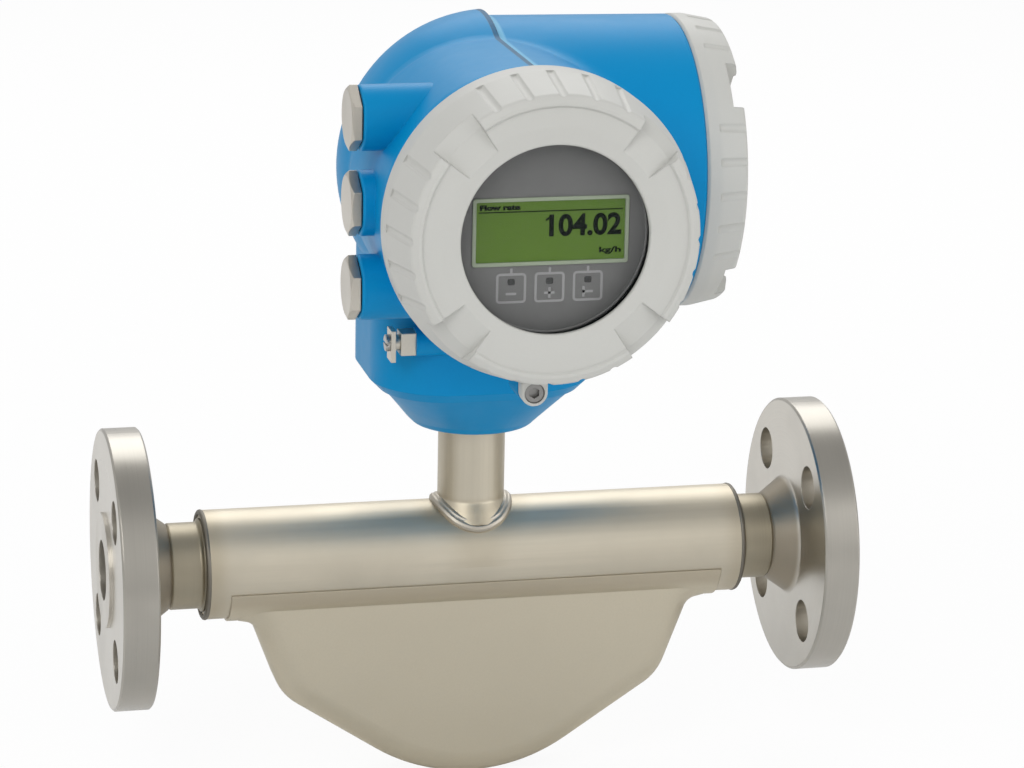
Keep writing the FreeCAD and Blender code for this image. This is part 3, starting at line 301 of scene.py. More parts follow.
class Graph:
    """Node tree of one finish, the floor or the world."""

    def __init__(self, tree):
        self.tree = tree
        tree.nodes.clear()

    def node(self, kind, settings=None, values=None, output=0):
        """New node with its settings made first and then its values or links."""
        made = self.tree.nodes.new(kind)
        for name, setting in (settings or {}).items():
            if name == "stops":
                self.set_stops(made.color_ramp.elements, setting)
            else:
                setattr(made, name, setting)
        for name, value in (values or {}).items():
            if isinstance(value, Reading):
                self.tree.links.new(value.socket, made.inputs[name])
            else:
                made.inputs[name].default_value = value
        return Reading(self, made.outputs[output]) if made.outputs else None

    def set_stops(self, elements, stops):
        """Grey levels of a ramp at their places."""
        while len(elements) < len(stops):
            elements.new(1.0)
        for element, (place, level) in zip(elements, stops):
            element.position = place
            element.color = (level, level, level, 1.0)

    def place(self):
        """Point of the surface in metres, in the piece's own frame."""
        return self.node("ShaderNodeTexCoord", output="Object")

    def split(self, vector):
        """The three parts of a vector."""
        cut = self.node("ShaderNodeSeparateXYZ", values={0: vector})
        outputs = cut.socket.node.outputs
        return [Reading(self, outputs[index]) for index in range(3)]

    def join(self, x, y, z):
        """Vector from three parts."""
        return self.node("ShaderNodeCombineXYZ", values={0: x, 1: y, 2: z})

    def noise(self, vector, scale, detail, roughness):
        """Noise between 0 and 1."""
        return self.node("ShaderNodeTexNoise", values={
            "Vector": vector, "Scale": scale, "Detail": detail, "Roughness": roughness})

    def smooth(self, value, low, high):
        """0 below low, 1 above high, and a smooth rise between them."""
        return self.node("ShaderNodeMapRange", {"interpolation_type": "SMOOTHSTEP"},
                         {"Value": value, "From Min": low, "From Max": high})

    def band(self, value, rise_start, rise_end, fall_start, fall_end):
        """1 between a smooth rise and a smooth fall, and 0 outside them."""
        return (self.smooth(value, rise_start, rise_end)
                * (1.0 - self.smooth(value, fall_start, fall_end)))

    def range(self, value, low, high):
        """A value from 0 to 1 spread between two numbers."""
        return value * (high - low) + low

    def blend(self, factor, first, second):
        """Colour between two colours."""
        return self.node("ShaderNodeMix", {"data_type": "RGBA"},
                         {0: factor, 6: as_colour(first), 7: as_colour(second)}, output=2)

    def tones(self, factor, colour, low, high):
        """Tone of a colour between two shares of its strength."""
        return self.blend(factor, scaled(colour, low), scaled(colour, high))

    def bump(self, height, distance, strength, rounding=0.0):
        """Normal bent by a height, over edges that are rounded by a radius."""
        values = {"Height": height, "Distance": distance, "Strength": strength}
        if rounding:
            values["Normal"] = self.node("ShaderNodeBevel", {"samples": 4},
                                         {"Radius": rounding})
        return self.node("ShaderNodeBump", values=values)

    def surface(self, **values):
        """Principled surface from values named like its sockets, with _ for a space."""
        named = {name.replace("_", " "): value for name, value in values.items()}
        if "Base Color" in named:
            named["Base Color"] = as_colour(named["Base Color"])
        shader = self.node("ShaderNodeBsdfPrincipled", values=named)
        self.node("ShaderNodeOutputMaterial", values={"Surface": shader})


def as_colour(value):
    """Four numbers for a colour socket, or the link as it is."""
    if isinstance(value, Reading):
        return value
    return (value[0], value[1], value[2], 1.0)


def scaled(colour, share):
    """Colour made lighter or darker."""
    return tuple(min(part * share, 1.0) for part in colour)


def new_finish(name):
    """Empty material and its graph."""
    material = bpy.data.materials.new(name)
    material.use_nodes = True
    return material, Graph(material.node_tree)


def distance_from_line(a, b, centre_a=0.0, centre_b=0.0):
    """Distance from a line that runs along the third axis."""
    da = a - centre_a
    db = b - centre_b
    return (da * da + db * db) ** 0.5


def waves(reading, pitch):
    """Sine that repeats at a pitch."""
    return (reading * (TURN / pitch)).sine()


def turned_x(graph):
    """Fine rings left by turning about the pipe."""
    x, y, z = graph.split(graph.place())
    radius = distance_from_line(y, z)
    return graph.join(x * TURNED_GRAIN, radius * TURNED_GRAIN, 0.0)


def turned_z(graph):
    """Fine rings left by turning about the neck."""
    x, y, z = graph.split(graph.place())
    radius = distance_from_line(x, y, PIPE_MIDDLE.x, PIPE_MIDDLE.y)
    return graph.join(z * TURNED_GRAIN, radius * TURNED_GRAIN, 0.0)


def drawn_x(graph):
    """Long fine streaks along the pipe."""
    x, y, z = graph.split(graph.place())
    return graph.join(x * TUBE_STREAKS, y * DRAWN_GRAIN, z * DRAWN_GRAIN)


def drawn_z(graph):
    """Long fine streaks up the neck."""
    x, y, z = graph.split(graph.place())
    return graph.join(x * DRAWN_GRAIN, y * DRAWN_GRAIN, z * NECK_STREAKS)


def even_grain(graph):
    """Fine grain that is the same in every direction."""
    x, y, z = graph.split(graph.place())
    return graph.join(x * BLASTED_GRAIN, y * BLASTED_GRAIN, z * BLASTED_GRAIN)


def steel(name, colour, rough, grain, stain=0.10):
    """Bare steel with grain left by its making and a faint uneven stain."""
    material, graph = new_finish(name)
    marks = graph.noise(grain(graph), 1.0, 3.0, 0.6)
    cloud = graph.noise(graph.place(), 22.0, 4.0, 0.55)
    fine = graph.noise(graph.place(), 380.0, 2.0, 0.5)
    light = graph.tones(marks, colour, 1.0 - stain, 1.0 + stain)
    shade = graph.blend(graph.smooth(cloud, 0.35, 0.75), light, scaled(colour, 0.90))
    graph.surface(Base_Color=shade, Metallic=1.0,
                  Roughness=graph.range(marks + cloud, rough - 0.05, rough + 0.03),
                  Normal=graph.bump(marks + fine * 0.4, 0.00002, 0.7, 0.0005))
    return material


def flange_steel(name, colour):
    """Turned steel with a serrated sealing face, a rim darkened with painted shade and a
    browned hub.
    """
    material, graph = new_finish(name)
    x, y, z = graph.split(graph.place())
    radius = distance_from_line(y, z)
    reach = abs(x - PIPE_MIDDLE.x)
    rings = graph.noise(graph.join(x * FACED_GRAIN, radius * FACED_GRAIN, 0.0), 1.0, 3.0, 0.65)
    broad = graph.noise(graph.join(x * FACED_BANDS, radius * FACED_BANDS, 0.0), 1.0, 2.0, 0.5)
    cloud = graph.noise(graph.place(), 30.0, 3.0, 0.5)
    sealing = (reach > HALF_REACH - RAISED_FACE_DEPTH) * (radius < RAISED_FACE_RADIUS)
    serration = waves(radius, SERRATION_PITCH) * sealing
    rim = graph.smooth(radius, *FLANGE_RIM)
    hub = (1.0 - graph.smooth(radius, *HUB_EDGE)) * (reach < HALF_REACH - HUB_DEPTH)
    light = graph.tones(rings, colour, 0.88, 1.12)
    face = graph.blend(graph.smooth(cloud, 0.4, 0.8), light, scaled(colour, 0.92))
    # Painted shade: the outer rim is darkened towards a third of the steel's colour.
    rim_shaded = graph.blend(rim * 0.42, face, scaled(colour, 0.30))
    shade = graph.blend(hub * 0.8, rim_shaded, HUB_TINT)
    height = rings * 0.5 + broad * 0.5 + serration * 4.0
    graph.surface(Base_Color=shade, Metallic=1.0,
                  Roughness=graph.range(rings + cloud, 0.22, 0.30) + hub * 0.16,
                  Normal=graph.bump(height, 0.00002, 0.8, 0.0006))
    return material


def shell_steel(name, colour):
    """Pressed and blasted sheet with soft clouds and heat colour along its saddle edge."""
    material, graph = new_finish(name)
    z = graph.split(graph.place())[2]
    grain = graph.noise(even_grain(graph), 1.0, 3.0, 0.6)
    cloud = graph.noise(graph.place(), 14.0, 4.0, 0.5)
    seam = 1.0 - graph.smooth(abs(z - SADDLE_EDGE_Z), *SADDLE_HEAT)
    plain = graph.tones(cloud, colour, 0.92, 1.08)
    speckled = graph.blend(grain, scaled(colour, 0.90), plain)
    heated = graph.blend(seam * 0.35, speckled, SHELL_HEAT_TINT)
    graph.surface(Base_Color=heated, Metallic=1.0,
                  Roughness=graph.range(grain + cloud, 0.40, 0.46),
                  Normal=graph.bump(grain, 0.00004, 0.8, 0.0008))
    return material


def beside_tube_welds(graph):
    """1 at the tube's ends and, on top, round the neck; 0 away from them."""
    x, y, z = graph.split(graph.place())
    ends = graph.smooth(abs(x - PIPE_MIDDLE.x), *TUBE_END_HEAT)
    from_neck = distance_from_line(x, y, PIPE_MIDDLE.x, PIPE_MIDDLE.y)
    about_neck = 1.0 - graph.smooth(from_neck, *ABOUT_NECK_HEAT)
    return ends + about_neck * (z > 0.0)


def beside_neck_weld(graph):
    """1 at the neck's foot and 0 above it."""
    z = graph.split(graph.place())[2]
    return 1.0 - graph.smooth(z, *NECK_FOOT_HEAT)


def tube_steel(name, colour, grain, beside_weld, heat):
    """Drawn tube, satin, with straw heat colour beside its welds."""
    material, graph = new_finish(name)
    marks = graph.noise(grain(graph), 1.0, 3.0, 0.6)
    cloud = graph.noise(graph.place(), 26.0, 4.0, 0.5)
    light = graph.tones(marks, colour, 0.90, 1.10)
    shade = graph.blend(graph.smooth(cloud, 0.35, 0.75), light, scaled(colour, 0.93))
    heated = graph.blend(beside_weld(graph) * cloud * heat, shade, TUBE_HEAT_TINT)
    graph.surface(Base_Color=heated, Metallic=1.0,
                  Roughness=graph.range(marks + cloud, 0.38, 0.46),
                  Normal=graph.bump(marks, 0.00003, 0.7, 0.0005))
    return material


def housing_paint(name, colour):
    """Satin powder coat, with painted shade along the step and a painted highlight along the
    lip over the crown, bare screw collars and painted shade in the two chambers."""
    material, graph = new_finish(name)
    x, y, z = graph.split(graph.place())
    peel = graph.noise(graph.place(), 900.0, 2.0, 0.5)
    soft = graph.noise(graph.place(), 130.0, 2.0, 0.5)
    cloud = graph.noise(graph.place(), 9.0, 2.0, 0.5)
    front = distance_from_line(x, z, DISPLAY_CENTRE.x, DISPLAY_CENTRE.z)
    side = distance_from_line(y, z, DRUM_Y, DRUM_Z)
    front_room = (front < FRONT_CHAMBER_RADIUS) * (y < FRONT_CHAMBER_Y)
    side_room = (side < SIDE_CHAMBER_RADIUS) * (x > PIPE_MIDDLE.x + SIDE_CHAMBER_START)
    # Mask of the painted shade inside the chambers.
    inside = graph.smooth(front_room + side_room, 0.4, 0.6)
    front_collar = (y < FRONT_COVER_BOX[1].y - COLLAR_GAP) * (front > FRONT_CHAMBER_RADIUS)
    side_collar = (x > SIDE_COVER_BOX[0].x + COLLAR_GAP) * (side > SIDE_CHAMBER_RADIUS)
    collar = graph.smooth(front_collar + side_collar, 0.4, 0.6)
    ridges = waves(y, THREAD_PITCH) * front_collar + waves(x, THREAD_PITCH) * side_collar
    across = x - PIPE_MIDDLE.x
    crown = graph.smooth(z, *CROWN_RISE)
    facing = 1.0 - graph.smooth(y, *LIP_HIGHLIGHT_FADE)
    # Masks of the painted shade in the step's groove and of the painted highlight along the
    # raised lip.
    step = graph.band(across, *STEP_SHADE_BAND) * crown
    lip = graph.band(across, *LIP_HIGHLIGHT_BAND) * crown * facing
    plain = graph.tones(cloud, colour, 0.94, 1.05)
    # The lip is painted lighter as a highlight and the step darker as shade; both also bend the
    # normal.
    lip_highlit = graph.blend(lip * 0.7, plain, LIP_HIGHLIGHT_TINT)
    paint = graph.blend(step * 0.92, lip_highlit, scaled(colour, 0.24))
    speck = graph.blend(peel * 0.25, paint, scaled(colour, 1.25))
    bare = graph.blend(collar, speck, BARE_TINT)
    # Painted shade: the chambers are painted near black over everything else.
    whole = graph.blend(inside, bare, CHAMBER_SHADE)
    height = peel * 0.35 + soft * 0.65 + ridges * 6.0 + lip * 4.0 - step * 4.0
    graph.surface(Base_Color=whole, Metallic=collar * 0.9,
                  Roughness=graph.range(soft, 0.36, 0.44) + inside * 0.3,
                  Specular_IOR_Level=0.14,
                  Normal=graph.bump(height, 0.00005, 0.6, 0.0007))
    return material


def cover_paint(name, colour):
    """Fine textured coat of the covers."""
    material, graph = new_finish(name)
    texture = graph.noise(graph.place(), 1300.0, 2.0, 0.6)
    soft = graph.noise(graph.place(), 240.0, 2.0, 0.5)
    cloud = graph.noise(graph.place(), 16.0, 3.0, 0.5)
    coat = graph.tones(cloud, colour, 0.96, 1.03)
    speck = graph.blend(texture * 0.30, coat, scaled(colour, 0.86))
    graph.surface(Base_Color=speck, Roughness=graph.range(soft, 0.40, 0.52),
                  Specular_IOR_Level=0.35,
                  Normal=graph.bump(texture * 0.5 + soft * 0.5, 0.00006, 0.6, 0.0009))
    return material


def moulded(name, colour, rough, grain_scale=1200.0, depth=0.00003, rounding=0.0003,
            shine=0.5):
    """Plastic, fine coat or print with a small even grain."""
    material, graph = new_finish(name)
    grain = graph.noise(graph.place(), grain_scale, 2.0, 0.6)
    cloud = graph.noise(graph.place(), 40.0, 3.0, 0.5)
    shade = graph.tones(cloud, colour, 0.92, 1.08)
    speck = graph.blend(grain * 0.3, shade, scaled(colour, 1.3))
    graph.surface(Base_Color=speck, Roughness=graph.range(grain, rough - 0.06, rough + 0.06),
                  Specular_IOR_Level=shine, Normal=graph.bump(grain, depth, 0.6, rounding))
    return material


def rubber(name):
    """Black seal rubber, matte with a dusty bloom."""
    material, graph = new_finish(name)
    grain = graph.noise(graph.place(), 900.0, 3.0, 0.6)
    bloom = graph.noise(graph.place(), 60.0, 3.0, 0.6)
    shade = graph.blend(graph.smooth(bloom, 0.45, 0.8), (0.018, 0.018, 0.019),
                        (0.045, 0.045, 0.045))
    graph.surface(Base_Color=shade, Roughness=graph.range(grain, 0.62, 0.80),
                  Normal=graph.bump(grain, 0.00003, 0.6))
    return material


def window_glass(name):
    """Clear flat glass with the faintest haze."""
    material, graph = new_finish(name)
    haze = graph.noise(graph.place(), 30.0, 3.0, 0.5)
    graph.surface(Base_Color=(0.04, 0.05, 0.05), Roughness=graph.range(haze, 0.04, 0.09),
                  Alpha=graph.range(haze, 0.07, 0.10), IOR=1.5)
    return material


def lit_panel(name, colour):
    """Backlit liquid crystal with its dot grid and a slightly cloudy glow, lighter at the
    bottom than at the top.
    """
    material, graph = new_finish(name)
    x, _, z = graph.split(graph.place())
    across = graph.smooth(waves(x, DOT_PITCH), 0.80, 1.0)
    down = graph.smooth(waves(z, DOT_PITCH), 0.80, 1.0)
    cloud = graph.noise(graph.place(), 45.0, 2.0, 0.5)
    rise = graph.smooth(z, PANEL_BOX[0].z, PANEL_BOX[1].z)
    glow = graph.tones(rise, colour, 1.05, 0.93)
    clouded = graph.blend(cloud, scaled(colour, 0.95), glow)
    dots = graph.smooth(across + down, 0.0, 1.0)
    dotted = graph.blend(dots * 0.22, clouded, scaled(colour, 0.72))
    graph.surface(Base_Color=dotted, Roughness=graph.range(cloud, 0.30, 0.38),
                  Emission_Color=dotted, Emission_Strength=0.22,
                  Normal=graph.bump(across + down, 0.00001, 0.3))
    return material


def laminate(name):
    """Solder mask with copper runs under it and small pads."""
    material, graph = new_finish(name)
    x, y, z = graph.split(graph.place())
    runs = graph.node("ShaderNodeTexBrick", {"offset": 0.5}, {
        "Vector": graph.join(x, z + y, 0.0), "Scale": 260.0, "Mortar Size": 0.06,
        "Color1": (0.0, 0.0, 0.0, 1.0), "Color2": (0.0, 0.0, 0.0, 1.0), "Mortar": WHITE})
    grain = graph.noise(graph.place(), 500.0, 2.0, 0.5)
    shade = graph.blend(runs, (0.006, 0.075, 0.028), (0.020, 0.150, 0.055))
    speck = graph.blend(grain * 0.25, shade, (0.030, 0.180, 0.080))
    graph.surface(Base_Color=speck, Roughness=graph.range(grain, 0.28, 0.40),
                  Normal=graph.bump(runs, 0.00004, 0.7))
    return material


def wound_copper(name):
    """Enamelled wire wound in close turns."""
    material, graph = new_finish(name)
    turn = waves(graph.split(graph.place())[1], WIRE_PITCH)
    uneven = graph.noise(graph.place(), 320.0, 2.0, 0.5)
    shade = graph.blend(graph.smooth(turn, -1.0, 1.0), (0.22, 0.07, 0.02),
                        (0.62, 0.27, 0.10))
    graph.surface(Base_Color=shade, Metallic=0.9, Roughness=graph.range(uneven, 0.25, 0.42),
                  Normal=graph.bump(turn + uneven, 0.00008, 0.8))
    return material


def assign(node_names, material):
    """Give CAD nodes a finish in their own slots."""
    for name in node_names:
        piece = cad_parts[name]
        if not piece.data.materials:
            piece.data.materials.append(material)
        for slot in piece.material_slots:
            slot.material = material


def node_names(*beginnings):
    """CAD nodes whose names begin with one of the words."""
    found = [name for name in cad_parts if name.startswith(beginnings)]
    if not found:
        raise RuntimeError("no piece is named like " + ", ".join(beginnings))
    return found


# ---------------------------------------------------------------- mesh helpers


def nothing_selected():
    """Leave no object selected, out of edit mode."""
    if bpy.context.object and bpy.context.object.mode != "OBJECT":
        bpy.ops.object.mode_set(mode="OBJECT")
    bpy.ops.object.select_all(action="DESELECT")


def only(piece):
    """Select one piece and make it active."""
    nothing_selected()
    piece.select_set(True)
    bpy.context.view_layer.objects.active = piece


def settle(piece, name):
    """Write the piece's place, turn and size into its mesh."""
    only(piece)
    bpy.ops.object.transform_apply(location=True, rotation=True, scale=True)
    piece.name = name
    piece.data.name = name


def pick_faces(piece, wanted):
    """Go into edit mode with only the wanted faces of a piece selected."""
    bpy.ops.object.mode_set(mode="EDIT")
    bpy.ops.mesh.select_mode(type="FACE")
    bpy.ops.mesh.select_all(action="DESELECT")
    bpy.ops.object.mode_set(mode="OBJECT")
    for face in piece.data.polygons:
        face.select = wanted(face)
    bpy.ops.object.mode_set(mode="EDIT")


def smooth(piece):
    """Shade the piece smooth where its faces meet at less than 0.6 of a radian."""
    only(piece)
    bpy.ops.object.shade_smooth_by_angle(angle=0.6)


def finish_piece(piece, name, material, body):
    """Name a piece, paint it and let it ride on its body."""
    settle(piece, name)
    piece.data.materials.clear()
    piece.data.materials.append(material)
    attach(piece, body)
    nothing_selected()


def joined(pieces):
    """One object from several."""
    nothing_selected()
    for piece in pieces:
        piece.select_set(True)
    bpy.context.view_layer.objects.active = pieces[0]
    bpy.ops.object.join()
    return pieces[0]


def rippled(piece, middle, ripples):
    """Raise every other part of a bead round an upright line, as a welder's ripples do."""
    step = TURN / ripples

    def is_raised(face):
        spot = face.center
        angle = math.atan2(spot.y - middle.y, spot.x - middle.x) + math.pi
        return math.floor(angle / step) % 2 == 0

    only(piece)
    pick_faces(piece, is_raised)
    bpy.ops.transform.shrink_fatten(value=sizes().ripple)
    bpy.ops.object.mode_set(mode="OBJECT")


def ring_bead(x, radius, bead):
    """Weld bead round the pipe."""
    nothing_selected()
    bpy.ops.mesh.primitive_torus_add(
        major_radius=radius, minor_radius=bead, major_segments=END_RIPPLES, minor_segments=10,
        location=(0, 0, 0))
    piece = bpy.context.object
    rippled(piece, Vector((0, 0, 0)), END_RIPPLES)
    piece.rotation_euler = (0, QUARTER, 0)
    piece.location = (x, PIPE_MIDDLE.y, PIPE_MIDDLE.z)
    settle(piece, "bead")
    return piece


def edit_all(piece):
    """Go into edit mode on a piece, with all of it selected."""
    only(piece)
    bpy.ops.object.mode_set(mode="EDIT")
    bpy.ops.mesh.select_all(action="SELECT")


def thicken(height):
    """Draw the flat faces being edited up into a closed solid, and leave edit mode."""
    bpy.ops.mesh.extrude_region_move(TRANSFORM_OT_translate={"value": (0, 0, height)})
    bpy.ops.mesh.select_all(action="SELECT")
    bpy.ops.mesh.normals_make_consistent(inside=False)
    bpy.ops.object.mode_set(mode="OBJECT")


def mesh_span(piece):
    """Lowest and highest corner of a mesh."""
    points = [vertex.co for vertex in piece.data.vertices]
    low = Vector([min(point[axis] for point in points) for axis in range(3)])
    high = Vector([max(point[axis] for point in points) for axis in range(3)])
    return low, high


def text_piece(words, right, top, width, height, plane_y, weight):
    """Words drawn to a width, height and weight, flat against a plane that faces forward."""
    nothing_selected()
    bpy.ops.object.text_add(location=(0, 0, 0))
    piece = bpy.context.object
    piece.data.body = words
    piece.data.size = 1.0
    piece.data.resolution_u = 6
    piece.data.offset = weight
    bpy.ops.object.convert(target="MESH")
    piece = bpy.context.object
    low, high = mesh_span(piece)
    edit_all(piece)
    bpy.ops.mesh.remove_doubles(threshold=0.0001)
    thicken(1.0)
    across = width / (high.x - low.x)
    up = height / (high.y - low.y)
    piece.scale = (across, up, sizes().print_height)
    piece.location = (right - high.x * across, plane_y, top - high.y * up)
    piece.rotation_euler = (QUARTER, 0, 0)
    settle(piece, "words")
    return piece


def plate(centre, width, height, thickness, corner=0.0):
    """Thin upright plate that faces forward, with rounded corners."""
    nothing_selected()
    bpy.ops.mesh.primitive_cube_add(size=1, location=(0, 0, 0))
    piece = bpy.context.object
    piece.scale = (width, thickness, height)
    piece.location = centre
    settle(piece, "plate")
    if corner:
        only(piece)
        bpy.ops.object.mode_set(mode="EDIT")
        bpy.ops.mesh.select_mode(type="EDGE")
        bpy.ops.mesh.select_all(action="DESELECT")
        bpy.ops.object.mode_set(mode="OBJECT")
        points = piece.data.vertices
        for edge in piece.data.edges:
            a = points[edge.vertices[0]].co
            b = points[edge.vertices[1]].co
            edge.select = abs(a.y - b.y) > thickness / 2
        bpy.ops.object.mode_set(mode="EDIT")
        bpy.ops.mesh.bevel(offset=corner, segments=5, affect="EDGES")
        bpy.ops.object.mode_set(mode="OBJECT")
    return piece


def outline_plate(centre, width, thickness, corner, line):
    """Square frame of a thin printed line, with rounded corners."""
    piece = plate(centre, width, width, thickness, corner)
    only(piece)
    pick_faces(piece, lambda face: abs(face.normal.y) > 0.9)
    bpy.ops.mesh.inset(thickness=line, use_individual=True)
    bpy.ops.mesh.bridge_edge_loops()
    bpy.ops.object.mode_set(mode="OBJECT")
    return piece


# ---------------------------------------------------------------- operators


class METER_OT_finishes(bpy.types.Operator):
    """Give every solid of the frame its finish"""

    bl_idname = "meter.finishes"
    bl_label = "Finishes"

    def execute(self, context):
        tint = colours()
        assign(["inlet_flange", "outlet_flange"], flange_steel("turned_flange", tint.flange))
        assign(["inlet_manifold", "outlet_manifold"],
               steel("turned_manifold", (0.37, 0.33, 0.25), 0.40, turned_x))
        assign(["carrier_tube"],
               tube_steel("drawn_tube", tint.tube, drawn_x, beside_tube_welds, 0.55))
        assign(["neck_tube"],
               tube_steel("drawn_neck", tint.tube, drawn_z, beside_neck_weld, 0.95))
        assign(["neck_adapter"], steel("turned_adapter", tint.tube, 0.30, turned_z))
        assign(["belly_shell"], shell_steel("pressed_shell", tint.shell))
        assign(node_names("measuring_tube", "inlet_outer", "inlet_inner", "outlet_outer",
                          "outlet_inner"),
               steel("inner_steel", (0.52, 0.51, 0.49), 0.30, even_grain))
        assign(["transmitter_housing"], housing_paint("housing_coat", tint.housing))
        assign(["display_cover", "electronics_cover"], cover_paint("cover_coat", tint.cover))
        assign(["display_cover_clamp", "electronics_cover_clamp"],
               moulded("clamp_coat", scaled(tint.cover, 0.98), 0.46, 1300.0, 0.00005))
        assign(node_names("blanking_plug"),
               steel("plated_plug", (0.60, 0.565, 0.50), 0.30, turned_x, stain=0.05))
        assign(node_names("plug_seal", "display_cover_seal", "electronics_cover_seal",
                          "neck_seal", "window_gasket"), rubber("seal_rubber"))
        assign(["display_window"], window_glass("window_glass"))
        assign(["display_bezel"], moulded("bezel_plastic", tint.bezel, 0.48))
        assign(["display_frame"], moulded("frame_plastic", (0.36, 0.42, 0.31), 0.42))
        assign(["display_panel"], lit_panel("lit_panel", tint.glow))
        assign(["display_board", "sensor_board"], laminate("laminate"))
        assign(["display_holder", "terminal_carrier", "neck_feedthrough"],
               moulded("black_plastic", (0.022, 0.022, 0.024), 0.50))
        assign(["terminal_block"], moulded("terminal_plastic", (0.06, 0.24, 0.10), 0.42))
        assign(["electronics_module"], moulded("module_plastic", (0.09, 0.09, 0.10), 0.45))
        assign(node_names("inlet_pickup_coil", "outlet_pickup_coil", "drive_coil",
                          "tube_temperature_sensor"), wound_copper("wound_copper"))
        assign(node_names("inlet_pickup_magnet", "outlet_pickup_magnet", "drive_magnet"),
               steel("magnet_plating", (0.60, 0.60, 0.60), 0.22, even_grain, stain=0.04))
        assign(["ground_block", "ground_clamp"],
               steel("plated_ground", (0.60, 0.57, 0.50), 0.34, even_grain))
        assign(["ground_screw"],
               steel("ground_screw_steel", (0.45, 0.44, 0.42), 0.32, even_grain))
        assign(node_names("display_clamp_screw", "electronics_clamp_screw",
                          "housing_lock_screw", "terminal_screws"),
               steel("screw_steel", (0.30, 0.295, 0.285), 0.34, even_grain))
        # Painted shade: the window ring is near black, where the crescent round the bezel lies
        # in shade.
        assign(["window_ring"], moulded("ring_shade_coat", (0.02, 0.02, 0.02), 0.40))
        return {"FINISHED"}


class METER_OT_ring_welds(bpy.types.Operator):
    """Lay the weld beads round the pipe and at the foot of the neck"""

    bl_idname = "meter.ring_welds"
    bl_label = "Ring welds"

    def execute(self, context):
        tint = colours().weld
        weld = steel("weld_metal", tint, 0.42, even_grain, stain=0.16)
        # Painted shade: the beads at the tube's ends are painted darker, as shade on the end
        # faces.
        shaded_weld = steel("shaded_weld_metal", scaled(tint, 0.45), 0.50, even_grain, stain=0.16)
        reach = HALF_TUBE - END_BEAD_INSET
        ends = joined([ring_bead(PIPE_MIDDLE.x + side * reach, TUBE_RADIUS - END_BEAD_DEPTH,
                                 sizes().bead) for side in (-1, 1)])
        finish_piece(ends, "tube_end_welds", shaded_weld, "sensor")
        loop = joined([self.neck_pass(inset, lift) for inset, lift in NECK_PASSES])
        rippled(loop, PIPE_MIDDLE, NECK_RIPPLES)
        finish_piece(loop, "neck_weld", weld, "sensor")
        return {"FINISHED"}

    def neck_pass(self, inset, lift):
        """One pass of the weld round the neck's foot, laid on the tube."""
        foot = sizes().neck_foot
        nothing_selected()
        bpy.ops.mesh.primitive_circle_add(
            vertices=NECK_RIPPLES, radius=foot,
            location=(PIPE_MIDDLE.x, PIPE_MIDDLE.y, NECK_START_Z))
        loop = bpy.context.object
        for vertex in loop.data.vertices:
            spread = min(1.0, FOOT_WIDENING * (vertex.co.y / foot) ** 2)
            vertex.co *= 1.0 - FOOT_NARROWING * (1.0 - spread) - inset / foot
        bpy.ops.object.modifier_add(type="SHRINKWRAP")
        wrap = loop.modifiers[-1]
        wrap.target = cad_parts["carrier_tube"]
        wrap.wrap_method = "PROJECT"
        wrap.use_project_z = True
        wrap.use_negative_direction = True
        wrap.use_positive_direction = False
        bpy.ops.object.modifier_apply(modifier=wrap.name)
        bpy.ops.transform.translate(value=(0, 0, lift))
        bpy.ops.object.convert(target="CURVE")
        loop = bpy.context.object
        loop.data.bevel_depth = sizes().neck_bead
        loop.data.bevel_resolution = 3
        bpy.ops.object.convert(target="MESH")
        loop = bpy.context.object
        settle(loop, "neck_pass")
        return loop


class METER_OT_readout(bpy.types.Operator):
    """Draw the reading, its unit and the header on the lit panel"""

    bl_idname = "meter.readout"
    bl_label = "Readout"

    def execute(self, context):
        size = sizes()
        ink = moulded("readout_ink", colours().ink, 0.60, 600.0, 0.00001, 0.0, shine=0.05)
        thick = size.print_height
        plane = PANEL_BOX[0].y
        right = FRAME_BOX[1].x - RIGHT_MARGIN
        left = FRAME_BOX[0].x + LEFT_MARGIN
        top = FRAME_BOX[1].z
        reading = text_piece("104.02", right, top - READING_DROP, size.digit_width,
                             size.digit_height, plane, TEXT_WEIGHT)
        unit = text_piece("kg/h", right, top - UNIT_DROP, UNIT_WIDTH, UNIT_HEIGHT, plane,
                          TEXT_WEIGHT)
        header = text_piece("Flow rate", left + HEADER_WIDTH, top - HEADER_DROP, HEADER_WIDTH,
                            HEADER_HEIGHT, plane, HEADER_WEIGHT)
        rule = plate(Vector(((left + right) / 2, plane - thick / 2, top - RULE_DROP)),
                     right - left + RULE_EXTRA, RULE_HEIGHT, thick)
        flag = plate(Vector((right - size.digit_width - FLAG_GAP, plane - thick / 2,
                             top - FLAG_DROP)), FLAG_WIDTH, FLAG_HEIGHT, thick)
        low, high = mesh_span(flag)
        edit_all(flag)
        bpy.ops.transform.rotate(value=FLAG_SLOPE, orient_axis="Y",
                                 center_override=(low + high) / 2)
        bpy.ops.object.mode_set(mode="OBJECT")
        finish_piece(joined([reading, unit, header, rule, flag]), "readout", ink,
                     "display_module")
        return {"FINISHED"}


